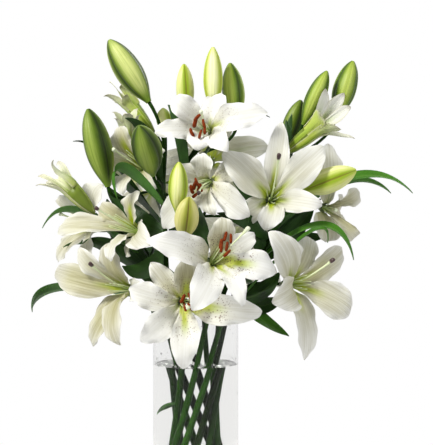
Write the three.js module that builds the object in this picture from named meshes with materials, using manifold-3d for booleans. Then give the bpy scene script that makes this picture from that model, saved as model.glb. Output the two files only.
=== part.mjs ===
// White lilies with buds and leaves in a tall clear glass cylinder vase with water.
// Millimetres, +Z up. The origin is the middle of the vase's foot, and -Y is the side that is seen.
import * as THREE from 'three';
import { mergeVertices } from 'three/addons/utils/BufferGeometryUtils.js';
import Module from 'manifold-3d';

const wasm = await Module();
wasm.setup();

// Driving dimensions
const vase = { radius: 60, height: 300, wall: 3, floor: 12, heel: 3, lip: 1.5, sides: 32 };
const waterLevel = 226;
const clearance = 0.3; // between pieces that touch
const holeSpare = 0.4; // between the water and what stands in it
const stemShape = {
  foot: 4.2, top: 3.2, sides: 6, spread: 46, twist: 125, handle: 0.35,
  stalk: 2.4, stalkSides: 3, stalkSteps: 4, stalkHandles: [0.3, 0.4],
};
const tepalShape = {
  thick: 1.2, steps: 5, farSteps: 4, waves: 2.4, handle: 0.36, cup: [0.5, 0.55],
};
const leafShape = { thick: 1.1, steps: 4, fold: 0.3, swell: [0.7, 0.9] };
const narrowest = 0.7; // half the width of a blade's tip
const stamenShape = {
  pistil: [[0, 2.8], [4, 2.2], [9, 1.2], [70, 1.1], [73, 2.4]], // height and radius
  filament: 64, spread: 12, stray: 3, bend: [12, 4.5], widths: [0.8, 0.6], anther: 11, plump: 1.7,
};
const budShape = {
  sides: 6, furrow: 0.86,
  profile: [[0, 0.19], [0.08, 0.36], [0.25, 0.78], [0.5, 1], [0.72, 0.88], [0.9, 0.52], [1, 0.16]],
};

// The middle of an open flower and of a bud that begins to open: how deep it reaches behind the
// throat, its outside and the hollow in its top as [height, radius], and how its tepals leave it.
// rise is how far an inner and an outer tepal first climb, as a share of their length. Evenly spread
// tips are lift above the throat and reach out from the axis, outer ones lag lower.
const openShape = {
  depth: 24, body: [[0, 4.4], [13, 7]], well: [[13, 3.8]],
  rise: [0.46, 0.36], recurve: 35, swell: [0.8, 0.88], waist: 0.85, waistShare: 0.25, ruffle: 2.4,
  lift: 14, reach: 92, lag: 24, widths: [46, 34],
};
const openingShape = {
  depth: 34, body: [[0, 3.4], [14, 8], [32, 12], [46, 13]], well: [[46, 11.4], [28, 4]],
  rise: [0.5, 0.45], recurve: 25, swell: [0.2, 0.9], waist: 0, waistShare: 0.25, ruffle: 0.6,
  lag: 6, widths: [22, 17],
};

// The photograph that the places are read from: a level view from the -Y side.
// A place is [pixels across, pixels down, millimetres behind the vase's axis].
const view = { side: 29.3, back: 1512, up: 425, focal: 1070.8, across: 216.5, down: 222.5 };

function seen([across, down, depth]) {
  const scale = (view.back + depth) / view.focal;
  return new THREE.Vector3(
    view.side + (across - view.across) * scale,
    depth,
    view.up + (view.down - down) * scale,
  );
}

// Each stem: its angle at the vase's rim in degrees, and the place where its flowers branch off.
const stems = {
  stem_1: { angle: 185, head: [150, 262, 45] },
  stem_2: { angle: 149, head: [163, 195, 45] },
  stem_3: { angle: 221, head: [165, 205, -40] },
  stem_4: { angle: 77, head: [185, 170, 25] },
  stem_5: { angle: 293, head: [195, 250, -20] },
  stem_6: { angle: 41, head: [280, 180, 30] },
  stem_7: { angle: 5, head: [270, 225, 15] },
  stem_8: { angle: 257, head: [178, 296, -35] },
  stem_9: { angle: 329, head: [245, 290, 0] },
  stem_10: { angle: 113, head: [190, 225, 105] },
};

// Each open flower: its throat, the direction it faces, and its six tepals in turn around it,
// each as the place of its tip followed by its width in millimetres.
const blooms = {
  bloom_top: {
    stem: 'stem_4', throat: [207, 130, -20], faces: [-0.15, -0.95, 0.25], anthers: true,
    tips: [[170, 98, -42, 54], [221, 92, 15, 38], [268, 112, -38, 44], [228, 152, -80, 36],
      [197, 151, -62, 48], [153, 134, -50, 34]],
  },
  bloom_middle: {
    stem: 'stem_5', throat: [208, 182, -40], faces: [-0.25, -0.95, -0.05], anthers: true,
    tips: [[203, 152, -75, 44], [240, 165, -25, 36], [250, 217, -82, 48], [215, 216, -91, 34],
      [162, 229, -62, 46], [176, 168, -35, 34]],
  },
  bloom_front: {
    stem: 'stem_5', throat: [213, 262, -85], faces: [0.3, -0.92, 0.25], anthers: true,
    tips: [[222, 216, -115, 46], [256, 234, -69, 34], [277, 272, -100, 50], [243, 307, -153, 32],
      [192, 311, -160, 50], [146, 240, -142, 44]],
  },
  bloom_low_front: {
    stem: 'stem_8', throat: [183, 302, -75], faces: [0.1, -0.97, -0.1], anthers: true,
    tips: [[128, 289, -83, 46], [150, 262, -72, 34], [188, 256, -105, 44], [263, 312, -92, 44],
      [183, 370, -120, 42], [140, 342, -110, 34]],
  },
  bloom_left: {
    stem: 'stem_8', throat: [128, 289, -10], faces: [-0.55, -0.8, 0.1], anthers: false,
    tips: [[54, 272, 20, 50], [78, 247, -20, 36], [108, 242, -30, 46], [152, 292, -72, 34],
      [120, 346, -80, 40], [92, 347, -10, 34]],
  },
  bloom_low_right: {
    stem: 'stem_9', throat: [294.5, 283.5, -20], faces: [0.5, -0.82, 0.05], anthers: false,
    tips: [[351, 317, -25, 52], [306, 361, -45, 32], [273, 301, -95, 42], [270.6, 232.5, -80, 40],
      [311, 237, 5, 50], [343, 249, 5, 34]],
  },
  bloom_upper_right: {
    stem: 'stem_7', throat: [271, 199, -10], faces: [0.05, -0.97, 0.1], anthers: false,
    tips: [[325, 146, -25, 52], [281, 121, -10, 36], [222, 152, -30, 50], [232, 225, -35, 36],
      [265, 231, -56, 46], [323, 206, -55, 36]],
  },
  bloom_far_right: {
    stem: 'stem_7', throat: [335, 215, 20], faces: [0.6, -0.75, -0.35], anthers: false,
    tips: [[357, 239, 30, 46], [330, 245, -10, 34], [359, 189, -5, 38], [333, 144, 74, 44],
      [345, 200, 115, 34], [340, 235, 95, 44]],
  },
  bloom_left_middle: {
    stem: 'stem_1', throat: [134, 230, -30], faces: [-0.7, -0.6, 0.35], anthers: false,
    tips: [[139, 190, -45, 40], [57, 233, -6, 40], [100, 205, -12, 34], [125, 255, -2, 44],
      [110, 262, -60, 36], [150, 245, -95, 44]],
  },
  bloom_far_left: {
    stem: 'stem_1', throat: [95, 226, 40], faces: [-0.95, -0.2, 0.1], anthers: false,
    tips: [[100, 186, 30, 44], [60, 200, 50, 34], [57, 262, 60, 42], [90, 268, -20, 34],
      [80, 194, 120, 44], [85, 250, 120, 34]],
  },
  bloom_upper_left: {
    stem: 'stem_3', throat: [140, 167, 10], faces: [-0.5, -0.75, 0.3], anthers: false,
    tips: [[97, 158, 0, 46], [122, 195, -35, 34], [120, 125, 2, 44], [145, 130, -10, 34],
      [155, 190, -30, 44], [165, 150, -40, 34]],
  },
};

// Open flowers on the far side, which turn away: their six tepals spread evenly, from that turn.
const farBlooms = {
  bloom_back_left: { stem: 'stem_10', throat: [152, 187, 125], faces: [-0.45, 0.85, 0.2], turn: 20 },
  bloom_back_right: { stem: 'stem_10', throat: [236, 251, 135], faces: [0.35, 0.9, 0.15], turn: 35 },
  bloom_back_top: { stem: 'stem_4', throat: [211, 160, 115], faces: [0.05, 0.9, 0.4], turn: 50 },
};

// Each bud: where it starts, where its tip is, and its width in millimetres.
const buds = {
  bud_1: { stem: 'stem_2', base: [149, 102, 10], tip: [109, 40, 10], width: 41 },
  bud_2: { stem: 'stem_2', base: [108, 187, -30], tip: [88, 109, -30], width: 40 },
  bud_3: { stem: 'stem_3', base: [153, 175, -50], tip: [139, 126, -110], width: 41 },
  bud_4: { stem: 'stem_4', base: [186, 116, 55], tip: [184, 64, 50], width: 27 },
  bud_5: { stem: 'stem_4', base: [213, 112, 30], tip: [213, 47, 20], width: 29 },
  bud_6: { stem: 'stem_4', base: [236, 122, 55], tip: [230, 63, 50], width: 34 },
  bud_7: { stem: 'stem_6', base: [303, 125, 20], tip: [327, 71, 20], width: 29 },
  bud_8: { stem: 'stem_6', base: [336, 118, 45], tip: [353, 61, 40], width: 35 },
  bud_9: { stem: 'stem_6', base: [284, 150, 60], tip: [301, 100, 50], width: 32 },
  bud_10: { stem: 'stem_7', base: [301, 191, -8], tip: [356, 170, -28], width: 37 },
  bud_11: { stem: 'stem_5', base: [177, 213, -95], tip: [179, 162, -104], width: 27 },
  bud_12: { stem: 'stem_5', base: [184, 239, -102], tip: [189, 197, -122], width: 33 },
  bud_13: { stem: 'stem_10', base: [168, 205, 170], tip: [150, 150, 195], width: 34 },
  bud_14: { stem: 'stem_10', base: [262, 205, 130], tip: [285, 160, 165], width: 34 },
  bud_15: { stem: 'stem_2', base: [165, 132, 60], tip: [163, 108, 60], width: 24 },
};

// Buds that have begun to open: their tepals still stand up, and part evenly at the tips, lift
// above the throat and reach out from the axis.
const opening = {
  opening_left: {
    stem: 'stem_1', throat: [78, 196, -20], faces: [-0.7, -0.1, 0.75], turn: 80, lift: 58, reach: 26,
  },
  opening_top_left: {
    stem: 'stem_2', throat: [139, 115, 57], faces: [-0.6, 0.05, 0.7], turn: 80, lift: 58, reach: 24,
  },
  opening_pale: {
    stem: 'stem_3', throat: [130, 142, 30], faces: [-0.1, -0.25, 0.9], turn: 10, lift: 46, reach: 20,
  },
  opening_right: {
    stem: 'stem_6', throat: [302, 139, -5], faces: [0.62, -0.3, 0.5], turn: 65, lift: 64, reach: 46,
  },
};

// Each leaf: where it grows on its stem, from 1 at the vase's rim to 2 where the flowers branch off,
// a place that it passes, its tip, its width in millimetres, and its roll about its rib in degrees.
const leaves = [
  { stem: 'stem_1', from: 1.8, via: [84, 214, 0], tip: [42, 228, -12], width: 20, roll: 35 },
  { stem: 'stem_1', from: 1.6, via: [102, 248, 42], tip: [63, 247, 29], width: 20, roll: 30 },
  { stem: 'stem_8', from: 1.4, via: [66, 288, 95], tip: [32, 312, 20], width: 22, roll: 40 },
  { stem: 'stem_7', from: 1.95, via: [352, 178, 8], tip: [413, 193, 0], width: 22, roll: 35 },
  { stem: 'stem_7', from: 1.9, via: [340, 184, 70], tip: [391, 193, 40], width: 20, roll: 35 },
  { stem: 'stem_7', from: 1.5, via: [318, 226, -40], tip: [354, 260, -50], width: 20, roll: 30 },
  { stem: 'stem_9', from: 1.7, via: [308, 234, -50], tip: [328, 243, -58], width: 14, roll: 30 },
  { stem: 'stem_9', from: 1.6, via: [262, 320, -8], tip: [289, 336, -20], width: 24, roll: 40 },
  { stem: 'stem_2', from: 1.97, via: [150, 142, 18], tip: [125, 118, -16], width: 20, roll: 45 },
  { stem: 'stem_4', from: 1.9, via: [178, 130, 2], tip: [168, 105, 6], width: 20, roll: 60 },
  { stem: 'stem_3', from: 1.98, via: [122, 168, -62], tip: [117, 199, -66], width: 17, roll: 50 },
  { stem: 'stem_5', from: 1.5, via: [235, 209, -60], tip: [249, 223, -72], width: 18, roll: 40 },
  { stem: 'stem_4', from: 1.77, via: [225, 126, 18], tip: [270, 117, 5], width: 12, roll: 30 },
  { stem: 'stem_2', from: 1.7, via: [112, 162, 38], tip: [73, 141, 0], width: 12, roll: 30 },
  { stem: 'stem_6', from: 1.95, via: [284, 146, 14], tip: [292, 114, 28], width: 18, roll: 60 },
  { stem: 'stem_8', from: 1.55, via: [160, 278, 5], tip: [150, 252, 5], width: 30, roll: 80 },
  { stem: 'stem_5', from: 1.75, via: [200, 236, -60], tip: [196, 202, -15], width: 26, roll: 80 },
  { stem: 'stem_7', from: 1.6, via: [290, 235, 20], tip: [314, 206, 30], width: 30, roll: 70 },
  { stem: 'stem_3', from: 1.8, via: [128, 190, 40], tip: [108, 172, 25], width: 24, roll: 50 },
  { stem: 'stem_9', from: 1.7, via: [262, 292, -10], tip: [280, 272, -5], width: 28, roll: 60 },
  { stem: 'stem_7', from: 1.75, via: [260, 242, 0], tip: [253, 222, 0], width: 22, roll: 80 },
  { stem: 'stem_10', from: 1.7, via: [150, 255, 120], tip: [118, 262, 140], width: 26, roll: 40 },
  { stem: 'stem_10', from: 1.6, via: [228, 272, 110], tip: [262, 292, 135], width: 26, roll: 40 },
  { stem: 'stem_2', from: 1.8, via: [140, 172, 85], tip: [112, 162, 110], width: 24, roll: 40 },
  { stem: 'stem_3', from: 1.6, via: [146, 270, -8], tip: [122, 266, -20], width: 28, roll: 70 },
  { stem: 'stem_2', from: 1.6, via: [158, 238, 24], tip: [150, 208, 26], width: 26, roll: 80 },
];

// A leaf under water, which stands in its own hole as the stems do.
const sunken = {
  stem: 'stem_8', from: 0.56, via: [168, 405, -12], tip: [160, 413, -14], width: 8, roll: 60,
};
leaves.push(sunken);

for (const item of [...Object.values(blooms), ...Object.values(farBlooms)]) item.shape = openShape;
for (const item of Object.values(opening)) item.shape = openingShape;
const flowers = [...Object.values(blooms), ...Object.values(farBlooms), ...Object.values(opening)];

const upright = new THREE.Vector3(0, 0, 1);

function unit([x, y, z]) {
  return new THREE.Vector3(x, y, z).normalize();
}

function mix(a, b, share) {
  return a.clone().lerp(b, share);
}

function plus(start, direction, length) {
  return start.clone().addScaledVector(direction, length);
}

// A seeded draw between 0 and 1.
function draw(seed) {
  const value = Math.sin(seed * 12.9898) * 43758.5453;
  return value - Math.floor(value);
}

// A closed solid from points and triangles, turned outwards if its triangles face in.
function solid(points, triangles) {
  let volume = 0;
  for (const [a, b, c] of triangles) {
    volume += points[a].dot(points[b].clone().cross(points[c]));
  }
  return new wasm.Manifold(new wasm.Mesh({
    numProp: 3,
    vertProperties: new Float32Array(points.flatMap((point) => point.toArray())),
    triVerts: new Uint32Array(triangles.flatMap(([a, b, c]) => (volume > 0 ? [a, b, c] : [a, c, b]))),
  }));
}

// A profile turned about the vertical axis. It starts and ends on the axis.
function turned(profile, sides) {
  const lathe = new THREE.LatheGeometry(profile.map(([x, y]) => new THREE.Vector2(x, y)), sides);
  lathe.rotateX(Math.PI / 2);
  for (const name of ['normal', 'uv']) lathe.deleteAttribute(name);
  const merged = mergeVertices(lathe, 1e-3);
  const place = merged.attributes.position;
  const points = Array.from({ length: place.count }, (_, i) => (
    new THREE.Vector3().fromBufferAttribute(place, i)
  ));
  const triangles = [];
  for (let i = 0; i < merged.index.count; i += 3) {
    const [a, b, c] = [0, 1, 2].map((k) => merged.index.getX(i + k));
    if (a !== b && b !== c && a !== c) triangles.push([a, b, c]);
  }
  return solid(points, triangles);
}

// The skin of a solid, gathered ring by ring. A ring runs anticlockwise as seen from the end that
// the skin grows towards, and a ring's place in the list of points is kept as its indices.
class Skin {
  points = [];

  triangles = [];

  ring(points) {
    return points.map((point) => this.points.push(point) - 1);
  }

  // A band between two rings. Where mirrored(k) is true its quad k is split along the other diagonal.
  band(from, to, mirrored = () => false) {
    from.forEach((a, k) => {
      const next = (k + 1) % from.length;
      const [b, c, d] = [from[next], to[next], to[k]];
      this.triangles.push(...(mirrored(k) ? [[a, b, d], [b, c, d]] : [[a, b, c], [a, c, d]]));
    });
  }

  cap(ring, pattern = fan(ring.length)) {
    for (const [a, b, c] of pattern) this.triangles.push([ring[a], ring[b], ring[c]]);
  }

  // Bands from one ring through the others, with a cap at the end.
  grow(start, rings, pattern, mirrored) {
    let last = start;
    for (const points of rings) {
      const next = this.ring(points);
      this.band(last, next, mirrored);
      last = next;
    }
    this.cap(last, pattern);
  }

  solid() {
    return solid(this.points, this.triangles);
  }
}

// A skin over rings of points, closed at both ends.
function loft(rings, pattern, mirrored) {
  const skin = new Skin();
  const start = skin.ring(rings[0]);
  const closing = (pattern ?? fan(start.length)).map(([a, b, c]) => [a, c, b]);
  skin.cap(start, closing);
  skin.grow(start, rings.slice(1), pattern, mirrored);
  return skin.solid();
}

function fan(count) {
  return Array.from({ length: count - 2 }, (_, k) => [0, k + 1, k + 2]);
}

function ring(centre, across, up, radius, sides, ripple = () => 1) {
  return Array.from({ length: sides }, (_, k) => {
    const angle = (2 * Math.PI * k) / sides;
    const reach = radius * ripple(k);
    return plus(plus(centre, across, reach * Math.cos(angle)), up, reach * Math.sin(angle));
  });
}

// A direction square to the given one.
function squareTo(direction) {
  const spare = Math.abs(direction.z) < 0.9 ? new THREE.Vector3(0, 0, 1) : new THREE.Vector3(1, 0, 0);
  return new THREE.Vector3().crossVectors(spare, direction).normalize();
}

// A round rod along a list of points, with a radius at each and its ends square to its path.
function rod(points, radii, sides, startWay, endWay) {
  const ways = points.map((point, i) => {
    if (i === 0 && startWay) return startWay;
    if (i === points.length - 1 && endWay) return endWay;
    const before = points[Math.max(i - 1, 0)];
    const after = points[Math.min(i + 1, points.length - 1)];
    return after.clone().sub(before).normalize();
  });
  let across = squareTo(ways[0]);
  const rings = points.map((point, i) => {
    across = plus(across, ways[i], -across.dot(ways[i])).normalize();
    return ring(point, across, ways[i].clone().cross(across), radii[i], sides);
  });
  return loft(rings);
}

// A width that swells from a narrow root and runs out to a point: 1 at its widest.
function swell(share, rise, fall) {
  const shape = (u) => (u + 0.05) ** rise * Math.max(1.01 - u, 0) ** fall;
  return shape(share) / shape((1.01 * rise - 0.05 * fall) / (rise + fall));
}

// The rings of a thin blade along a curve: its rib lies on the curve, and its two halves fold
// towards its inner face. across is the way over it, and half(u, s) and edge(u, s) are how far out
// and how far up its edge is on side s.
function bladeRings(curve, steps, across, thick, half, edge) {
  return Array.from({ length: steps + 1 }, (_, i) => {
    const u = i / steps;
    const centre = curve.getPoint(u);
    const way = curve.getTangent(u);
    const over = plus(across, way, -across.dot(way)).normalize();
    const inner = way.clone().cross(over);
    const side = (s) => plus(centre, over, s * Math.max(half(u, s), narrowest));
    const rim = (s) => plus(side(s), inner, edge(u, s));
    const line = [rim(-1), centre, rim(1)];
    const face = (points, offset) => points.map((point) => plus(point, inner, offset));
    return [...face(line, -thick / 2), ...face(line.toReversed(), thick / 2)];
  });
}
const bladeCap = [[0, 1, 4], [0, 4, 5], [1, 2, 3], [1, 3, 4]];
const innerFace = (k) => k === 3 || k === 4;

// The largest body of a solid: scraps that a cut leaves loose and hollows that a join seals go.
function oneBody(made) {
  return made.decompose().sort((a, b) => b.volume() - a.volume())[0];
}

function joined(solids) {
  return oneBody(solids.reduce((sum, next) => sum.add(next)));
}

// Where a flower starts on its stalk, and the way it faces.
function footOf(item) {
  const way = unit(item.faces);
  return { way, foot: plus(seen(item.throat), way, -item.shape.depth) };
}

// One tepal: up from the rim of the flower's middle along its axis, then outwards and back at its
// tip. room(s) is the tangent of half the angle to the next tepal on side s, which it stays within.
function tepal(item, { tip, width, out, rise }, room, seed) {
  const { way, foot } = footOf(item);
  const { body, recurve, waist, waistShare, ruffle } = item.shape;
  const [height, radius] = body.at(-1);
  const start = plus(plus(foot, way, height), out, radius - tepalShape.thick / 2);
  const length = tip.distanceTo(start);
  const back = THREE.MathUtils.degToRad(recurve);
  const end = out.clone().multiplyScalar(Math.cos(back)).addScaledVector(way, -Math.sin(back));
  const curve = new THREE.CubicBezierCurve3(
    start,
    plus(start, way, rise * length),
    plus(tip, end, -tepalShape.handle * length),
    tip,
  );
  const across = way.clone().cross(out);
  const narrowed = (u) => 1 - waist * Math.exp(-((u / waistShare) ** 2));
  const full = (u) => (width / 2) * swell(u, ...item.shape.swell) * narrowed(u);
  const [cup, flatten] = tepalShape.cup;
  const half = (u, s) => {
    const distance = curve.getPoint(u).sub(foot).dot(out) - tepalShape.thick;
    return Math.min(full(u), (distance * room(s)) / (1 + cup * room(s) * (1 - u)));
  };
  const edge = (u, s) => {
    const phase = 2 * Math.PI * draw(seed + s);
    const wave = ruffle * Math.min(2 * u, 1) * (1 - u) ** 0.3;
    return half(u, s) * (cup - flatten * u) + wave * Math.sin(2 * Math.PI * tepalShape.waves * u + phase);
  };
  const steps = Object.values(farBlooms).includes(item) ? tepalShape.farSteps : tepalShape.steps;
  return bladeRings(curve, steps, across, tepalShape.thick, half, edge);
}

// A whole flower in one skin: its six tepals grow side by side from the rim of its middle.
function flowerSolid(item, seed) {
  const { way, foot } = footOf(item);
  const { body, well, rise } = item.shape;
  const across = squareTo(way);
  const up = way.clone().cross(across);
  const aims = item.tips ? item.tips.map(([x, y, depth, width]) => ({ tip: seen([x, y, depth]), width }))
    : evenTips(item);
  aims.forEach((aim, k) => {
    const reach = aim.tip.clone().sub(foot);
    aim.out = plus(reach, way, -reach.dot(way)).normalize();
    aim.turn = Math.atan2(aim.out.dot(up), aim.out.dot(across));
    aim.rise = rise[k % 2];
    aim.seed = seed + 3 * k;
  });
  aims.sort((a, b) => a.turn - b.turn);
  const gaps = aims.map(({ turn }, k) => aims[(k + 1) % 6].turn - turn + (k === 5 ? 2 * Math.PI : 0));
  const angles = aims.flatMap(({ turn }, k) => [turn, turn + gaps[k] / 2]);
  const circle = ([height, radius]) => angles.map((angle) => plus(plus(plus(foot, way, height),
    across, radius * Math.cos(angle)), up, radius * Math.sin(angle)));
  const skin = new Skin();
  const [bottom, ...outside] = body.map((place) => skin.ring(circle(place)));
  const [mouth, ...hollow] = well.map((place) => skin.ring(circle(place)));
  skin.cap(bottom.toReversed());
  let last = bottom;
  for (const next of outside) {
    skin.band(last, next);
    last = next;
  }
  let lowest = mouth;
  for (const next of hollow) {
    skin.band(lowest, next);
    lowest = next;
  }
  skin.cap(lowest);
  aims.forEach((aim, k) => {
    const [before, middle, after] = [(2 * k + 11) % 12, 2 * k, 2 * k + 1];
    const root = [last[before], last[middle], last[after], mouth[after], mouth[middle], mouth[before]];
    const room = (s) => Math.tan(gaps[s > 0 ? k : (k + 5) % 6] / 2);
    skin.grow(root, tepal(item, aim, room, aim.seed).slice(1), bladeCap, innerFace);
  });
  return skin.solid();
}

// A pistil with six filaments round it, in one skin, which stands on the flower's middle.
function stamenSolid(item, seed) {
  const { way, foot } = footOf(item);
  const across = squareTo(way);
  const up = way.clone().cross(across);
  const { pistil, filament, spread, stray, bend, widths, anther, plump } = stamenShape;
  const bottom = item.shape.body.at(-1)[0] + clearance;
  const at = (height) => plus(foot, way, height);
  const circles = pistil.map(([height, radius]) => ring(at(bottom + height), across, up, radius, 6));
  const skin = new Skin();
  const low = skin.ring(circles[0]);
  const high = skin.ring(circles[1]);
  skin.cap(low.toReversed());
  skin.grow(high, circles.slice(2));
  low.forEach((corner, k) => {
    const next = (k + 1) % 6;
    const angle = (Math.PI / 3) * (k + 0.5) + 0.2 * (draw(seed + k) - 0.5);
    const out = across.clone().multiplyScalar(Math.cos(angle)).addScaledVector(up, Math.sin(angle));
    const over = way.clone().cross(out);
    const knee = plus(at(bottom + bend[0]), out, bend[1]);
    const top = plus(at(filament), out, spread + stray * draw(seed + 7 * k));
    const along = top.clone().sub(knee).normalize();
    const rise = along.clone().cross(over);
    const oblong = (centre, width, depth) => [[-1, -1], [1, -1], [1, 1], [-1, 1]].map(([i, j]) => plus(
      plus(centre, over, i * width), rise, j * depth));
    const rings = [oblong(knee, widths[0], widths[0]), oblong(top, widths[1], widths[1])];
    if (item.anthers) {
      rings.push(oblong(plus(top, along, widths[1]), anther / 2, plump));
      rings.push(oblong(plus(top, along, 2 * plump), anther / 2 - 1, plump / 2));
    }
    skin.grow([corner, low[next], high[next], high[k]], rings);
  });
  return skin.solid();
}

// A long bud with three ridges, which narrows to a blunt tip.
function spindle(base, tip, width) {
  const way = tip.clone().sub(base).normalize();
  const across = squareTo(way);
  const up = way.clone().cross(across);
  const ridge = (k) => (k % 2 ? budShape.furrow : 1);
  const rings = budShape.profile.map(([share, swelling]) => ring(mix(base, tip, share), across, up,
    (width / 2) * swelling, budShape.sides, share > 0 ? ridge : undefined));
  return loft(rings);
}

// A stem's path: straight through the vase from foot to rim, then in a curve to its head.
function stemPath(name) {
  const { angle, head } = stems[name];
  const at = (degrees, height) => {
    const turn = THREE.MathUtils.degToRad(degrees);
    return new THREE.Vector3(stemShape.spread * Math.cos(turn), stemShape.spread * Math.sin(turn), height);
  };
  const foot = at(angle - stemShape.twist, vase.floor + clearance);
  const rim = at(angle, vase.height);
  const top = seen(head);
  const way = rim.clone().sub(foot).normalize();
  const rise = top.distanceTo(rim);
  const upper = new THREE.CubicBezierCurve3(rim, plus(rim, way, rise * stemShape.handle),
    plus(top, upright, -rise * stemShape.handle), top);
  return {
    foot, way, upper, top,
    place: (from) => (from <= 1 ? mix(foot, rim, from) : upper.getPoint(from - 1)),
    topWay: upper.getTangent(1),
  };
}

function radiusAt(from) {
  return stemShape.foot + (stemShape.top - stemShape.foot) * from / 2;
}

// The stalk of flower number k on a stem, from inside the stem's head to the flower's foot.
function stalk(path, end, endWay, k) {
  const sunk = stemShape.top + k;
  const start = plus(path.top, path.topWay, -sunk);
  const length = end.distanceTo(start);
  const [leaving, arriving] = stemShape.stalkHandles;
  const curve = new THREE.CubicBezierCurve3(start, plus(start, path.topWay, sunk + leaving * length),
    plus(end, endWay, -arriving * length), end);
  const points = curve.getPoints(stemShape.stalkSteps);
  const radii = points.map(() => stemShape.stalk);
  return rod(points, radii, stemShape.stalkSides, path.topWay, endWay);
}

// A leaf, or with room to spare all round it the hole that it stands in.
function leafSolid(leaf, spare = 0) {
  const root = stemPath(leaf.stem).place(leaf.from);
  const via = seen(leaf.via);
  const end = seen(leaf.tip);
  const tip = plus(end, end.clone().sub(via).normalize(), spare);
  const pull = via.multiplyScalar(2).addScaledVector(root, -0.5).addScaledVector(tip, -0.5);
  const curve = new THREE.QuadraticBezierCurve3(root, pull, tip);
  const chord = tip.clone().sub(root).normalize();
  const level = squareTo(chord).applyAxisAngle(chord, THREE.MathUtils.degToRad(leaf.roll));
  const half = (u) => (leaf.width / 2) * swell(u, ...leafShape.swell) + spare;
  const edge = (u) => leafShape.fold * half(u);
  const thick = leafShape.thick + 2 * spare;
  return loft(bladeRings(curve, leafShape.steps, level, thick, half, edge), bladeCap, innerFace);
}

function stemSolid(name) {
  const path = stemPath(name);
  const stops = [0, 1, 1.33, 1.66, 2];
  const stem = rod(stops.map(path.place), stops.map(radiusAt), stemShape.sides, upright, path.topWay);
  const parts = [stem];
  const growing = (item) => item.stem === name;
  const feet = flowers.filter(growing).map(footOf);
  for (const bud of Object.values(buds).filter(growing)) {
    feet.push({ way: seen(bud.tip).sub(seen(bud.base)).normalize(), foot: seen(bud.base) });
  }
  feet.forEach(({ way, foot }, k) => parts.push(stalk(path, plus(foot, way, -clearance), way, k)));
  parts.push(...leaves.filter(growing).map((leaf) => leafSolid(leaf)));
  return joined(parts);
}

// The hole in the water round a stem.
function holeSolid(name) {
  const path = stemPath(name);
  const ends = [plus(path.foot, path.way, -2), path.place(1)];
  return rod(ends, [0, 1].map((from) => radiusAt(from) + holeSpare), stemShape.sides, upright, path.way);
}

function vaseSolid() {
  const { radius, height, wall, floor, heel, lip, sides } = vase;
  const inner = radius - wall;
  return turned([[0, 0], [radius - heel, 0], [radius, heel], [radius, height - lip],
    [radius - lip, height], [inner, height - lip], [inner, floor + heel], [inner - heel, floor],
    [0, floor]], sides);
}

function waterSolid() {
  const inner = vase.radius - vase.wall - clearance;
  const bottom = vase.floor + clearance;
  const { heel, sides } = vase;
  const body = turned([[0, bottom], [inner - heel, bottom], [inner, bottom + heel],
    [inner, waterLevel], [0, waterLevel]], sides);
  const holes = [...Object.keys(stems).map(holeSolid), leafSolid(sunken, holeSpare)];
  return oneBody(holes.reduce((rest, hole) => rest.subtract(hole), body));
}

// Six evenly spread tips, for a flower whose tips aren't given one by one.
function evenTips(item) {
  const way = unit(item.faces);
  const across = squareTo(way);
  const up = way.clone().cross(across);
  const { lift, reach, lag, widths } = { ...item.shape, ...item };
  return Array.from({ length: 6 }, (_, k) => {
    const angle = THREE.MathUtils.degToRad(item.turn + 60 * k);
    const out = across.clone().multiplyScalar(Math.cos(angle)).addScaledVector(up, Math.sin(angle));
    const tip = plus(plus(seen(item.throat), way, lift - (k % 2) * lag), out, reach);
    return { tip, width: widths[k % 2] };
  });
}

const colours = {
  glass: { color: 0xe8eeee, roughness: 0.03, metalness: 0 },
  water: { color: 0xdfe8e6, roughness: 0.02, metalness: 0 },
  petal: { color: 0xf4f3ec, roughness: 0.55, metalness: 0 },
  stamen: { color: 0xa8542a, roughness: 0.8, metalness: 0 },
  pistil: { color: 0xcfe08a, roughness: 0.6, metalness: 0 },
  bud: { color: 0x9dba55, roughness: 0.5, metalness: 0 },
  leaf: { color: 0x2c5a22, roughness: 0.5, metalness: 0 },
};

const model = new THREE.Group();

function place(name, made, finish) {
  const { vertProperties, triVerts } = made.getMesh();
  const geometry = new THREE.BufferGeometry();
  geometry.setAttribute('position', new THREE.BufferAttribute(new Float32Array(vertProperties), 3));
  geometry.setIndex(new THREE.BufferAttribute(new Uint32Array(triVerts), 1));
  const mesh = new THREE.Mesh(geometry, new THREE.MeshStandardMaterial(colours[finish]));
  mesh.name = name;
  model.add(mesh);
}

place('vase', vaseSolid(), 'glass');
place('water', waterSolid(), 'water');
for (const name of Object.keys(stems)) place(name, stemSolid(name), 'leaf');
for (const [name, bud] of Object.entries(buds)) {
  place(name, spindle(seen(bud.base), seen(bud.tip), bud.width), 'bud');
}
Object.entries({ ...blooms, ...farBlooms }).forEach(([name, item], i) => {
  place(name, flowerSolid(item, 40 * i + 5), 'petal');
  place(name.replace('bloom', 'stamens'), stamenSolid(item, 40 * i + 9), item.anthers ? 'stamen' : 'pistil');
});
Object.entries(opening).forEach(([name, item], i) => {
  place(name, flowerSolid(item, 60 * i + 11), 'bud');
});

export default model;
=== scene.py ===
# White lilies with buds and leaves in a tall glass vase. Lengths in the tables are millimetres.
import math

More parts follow.
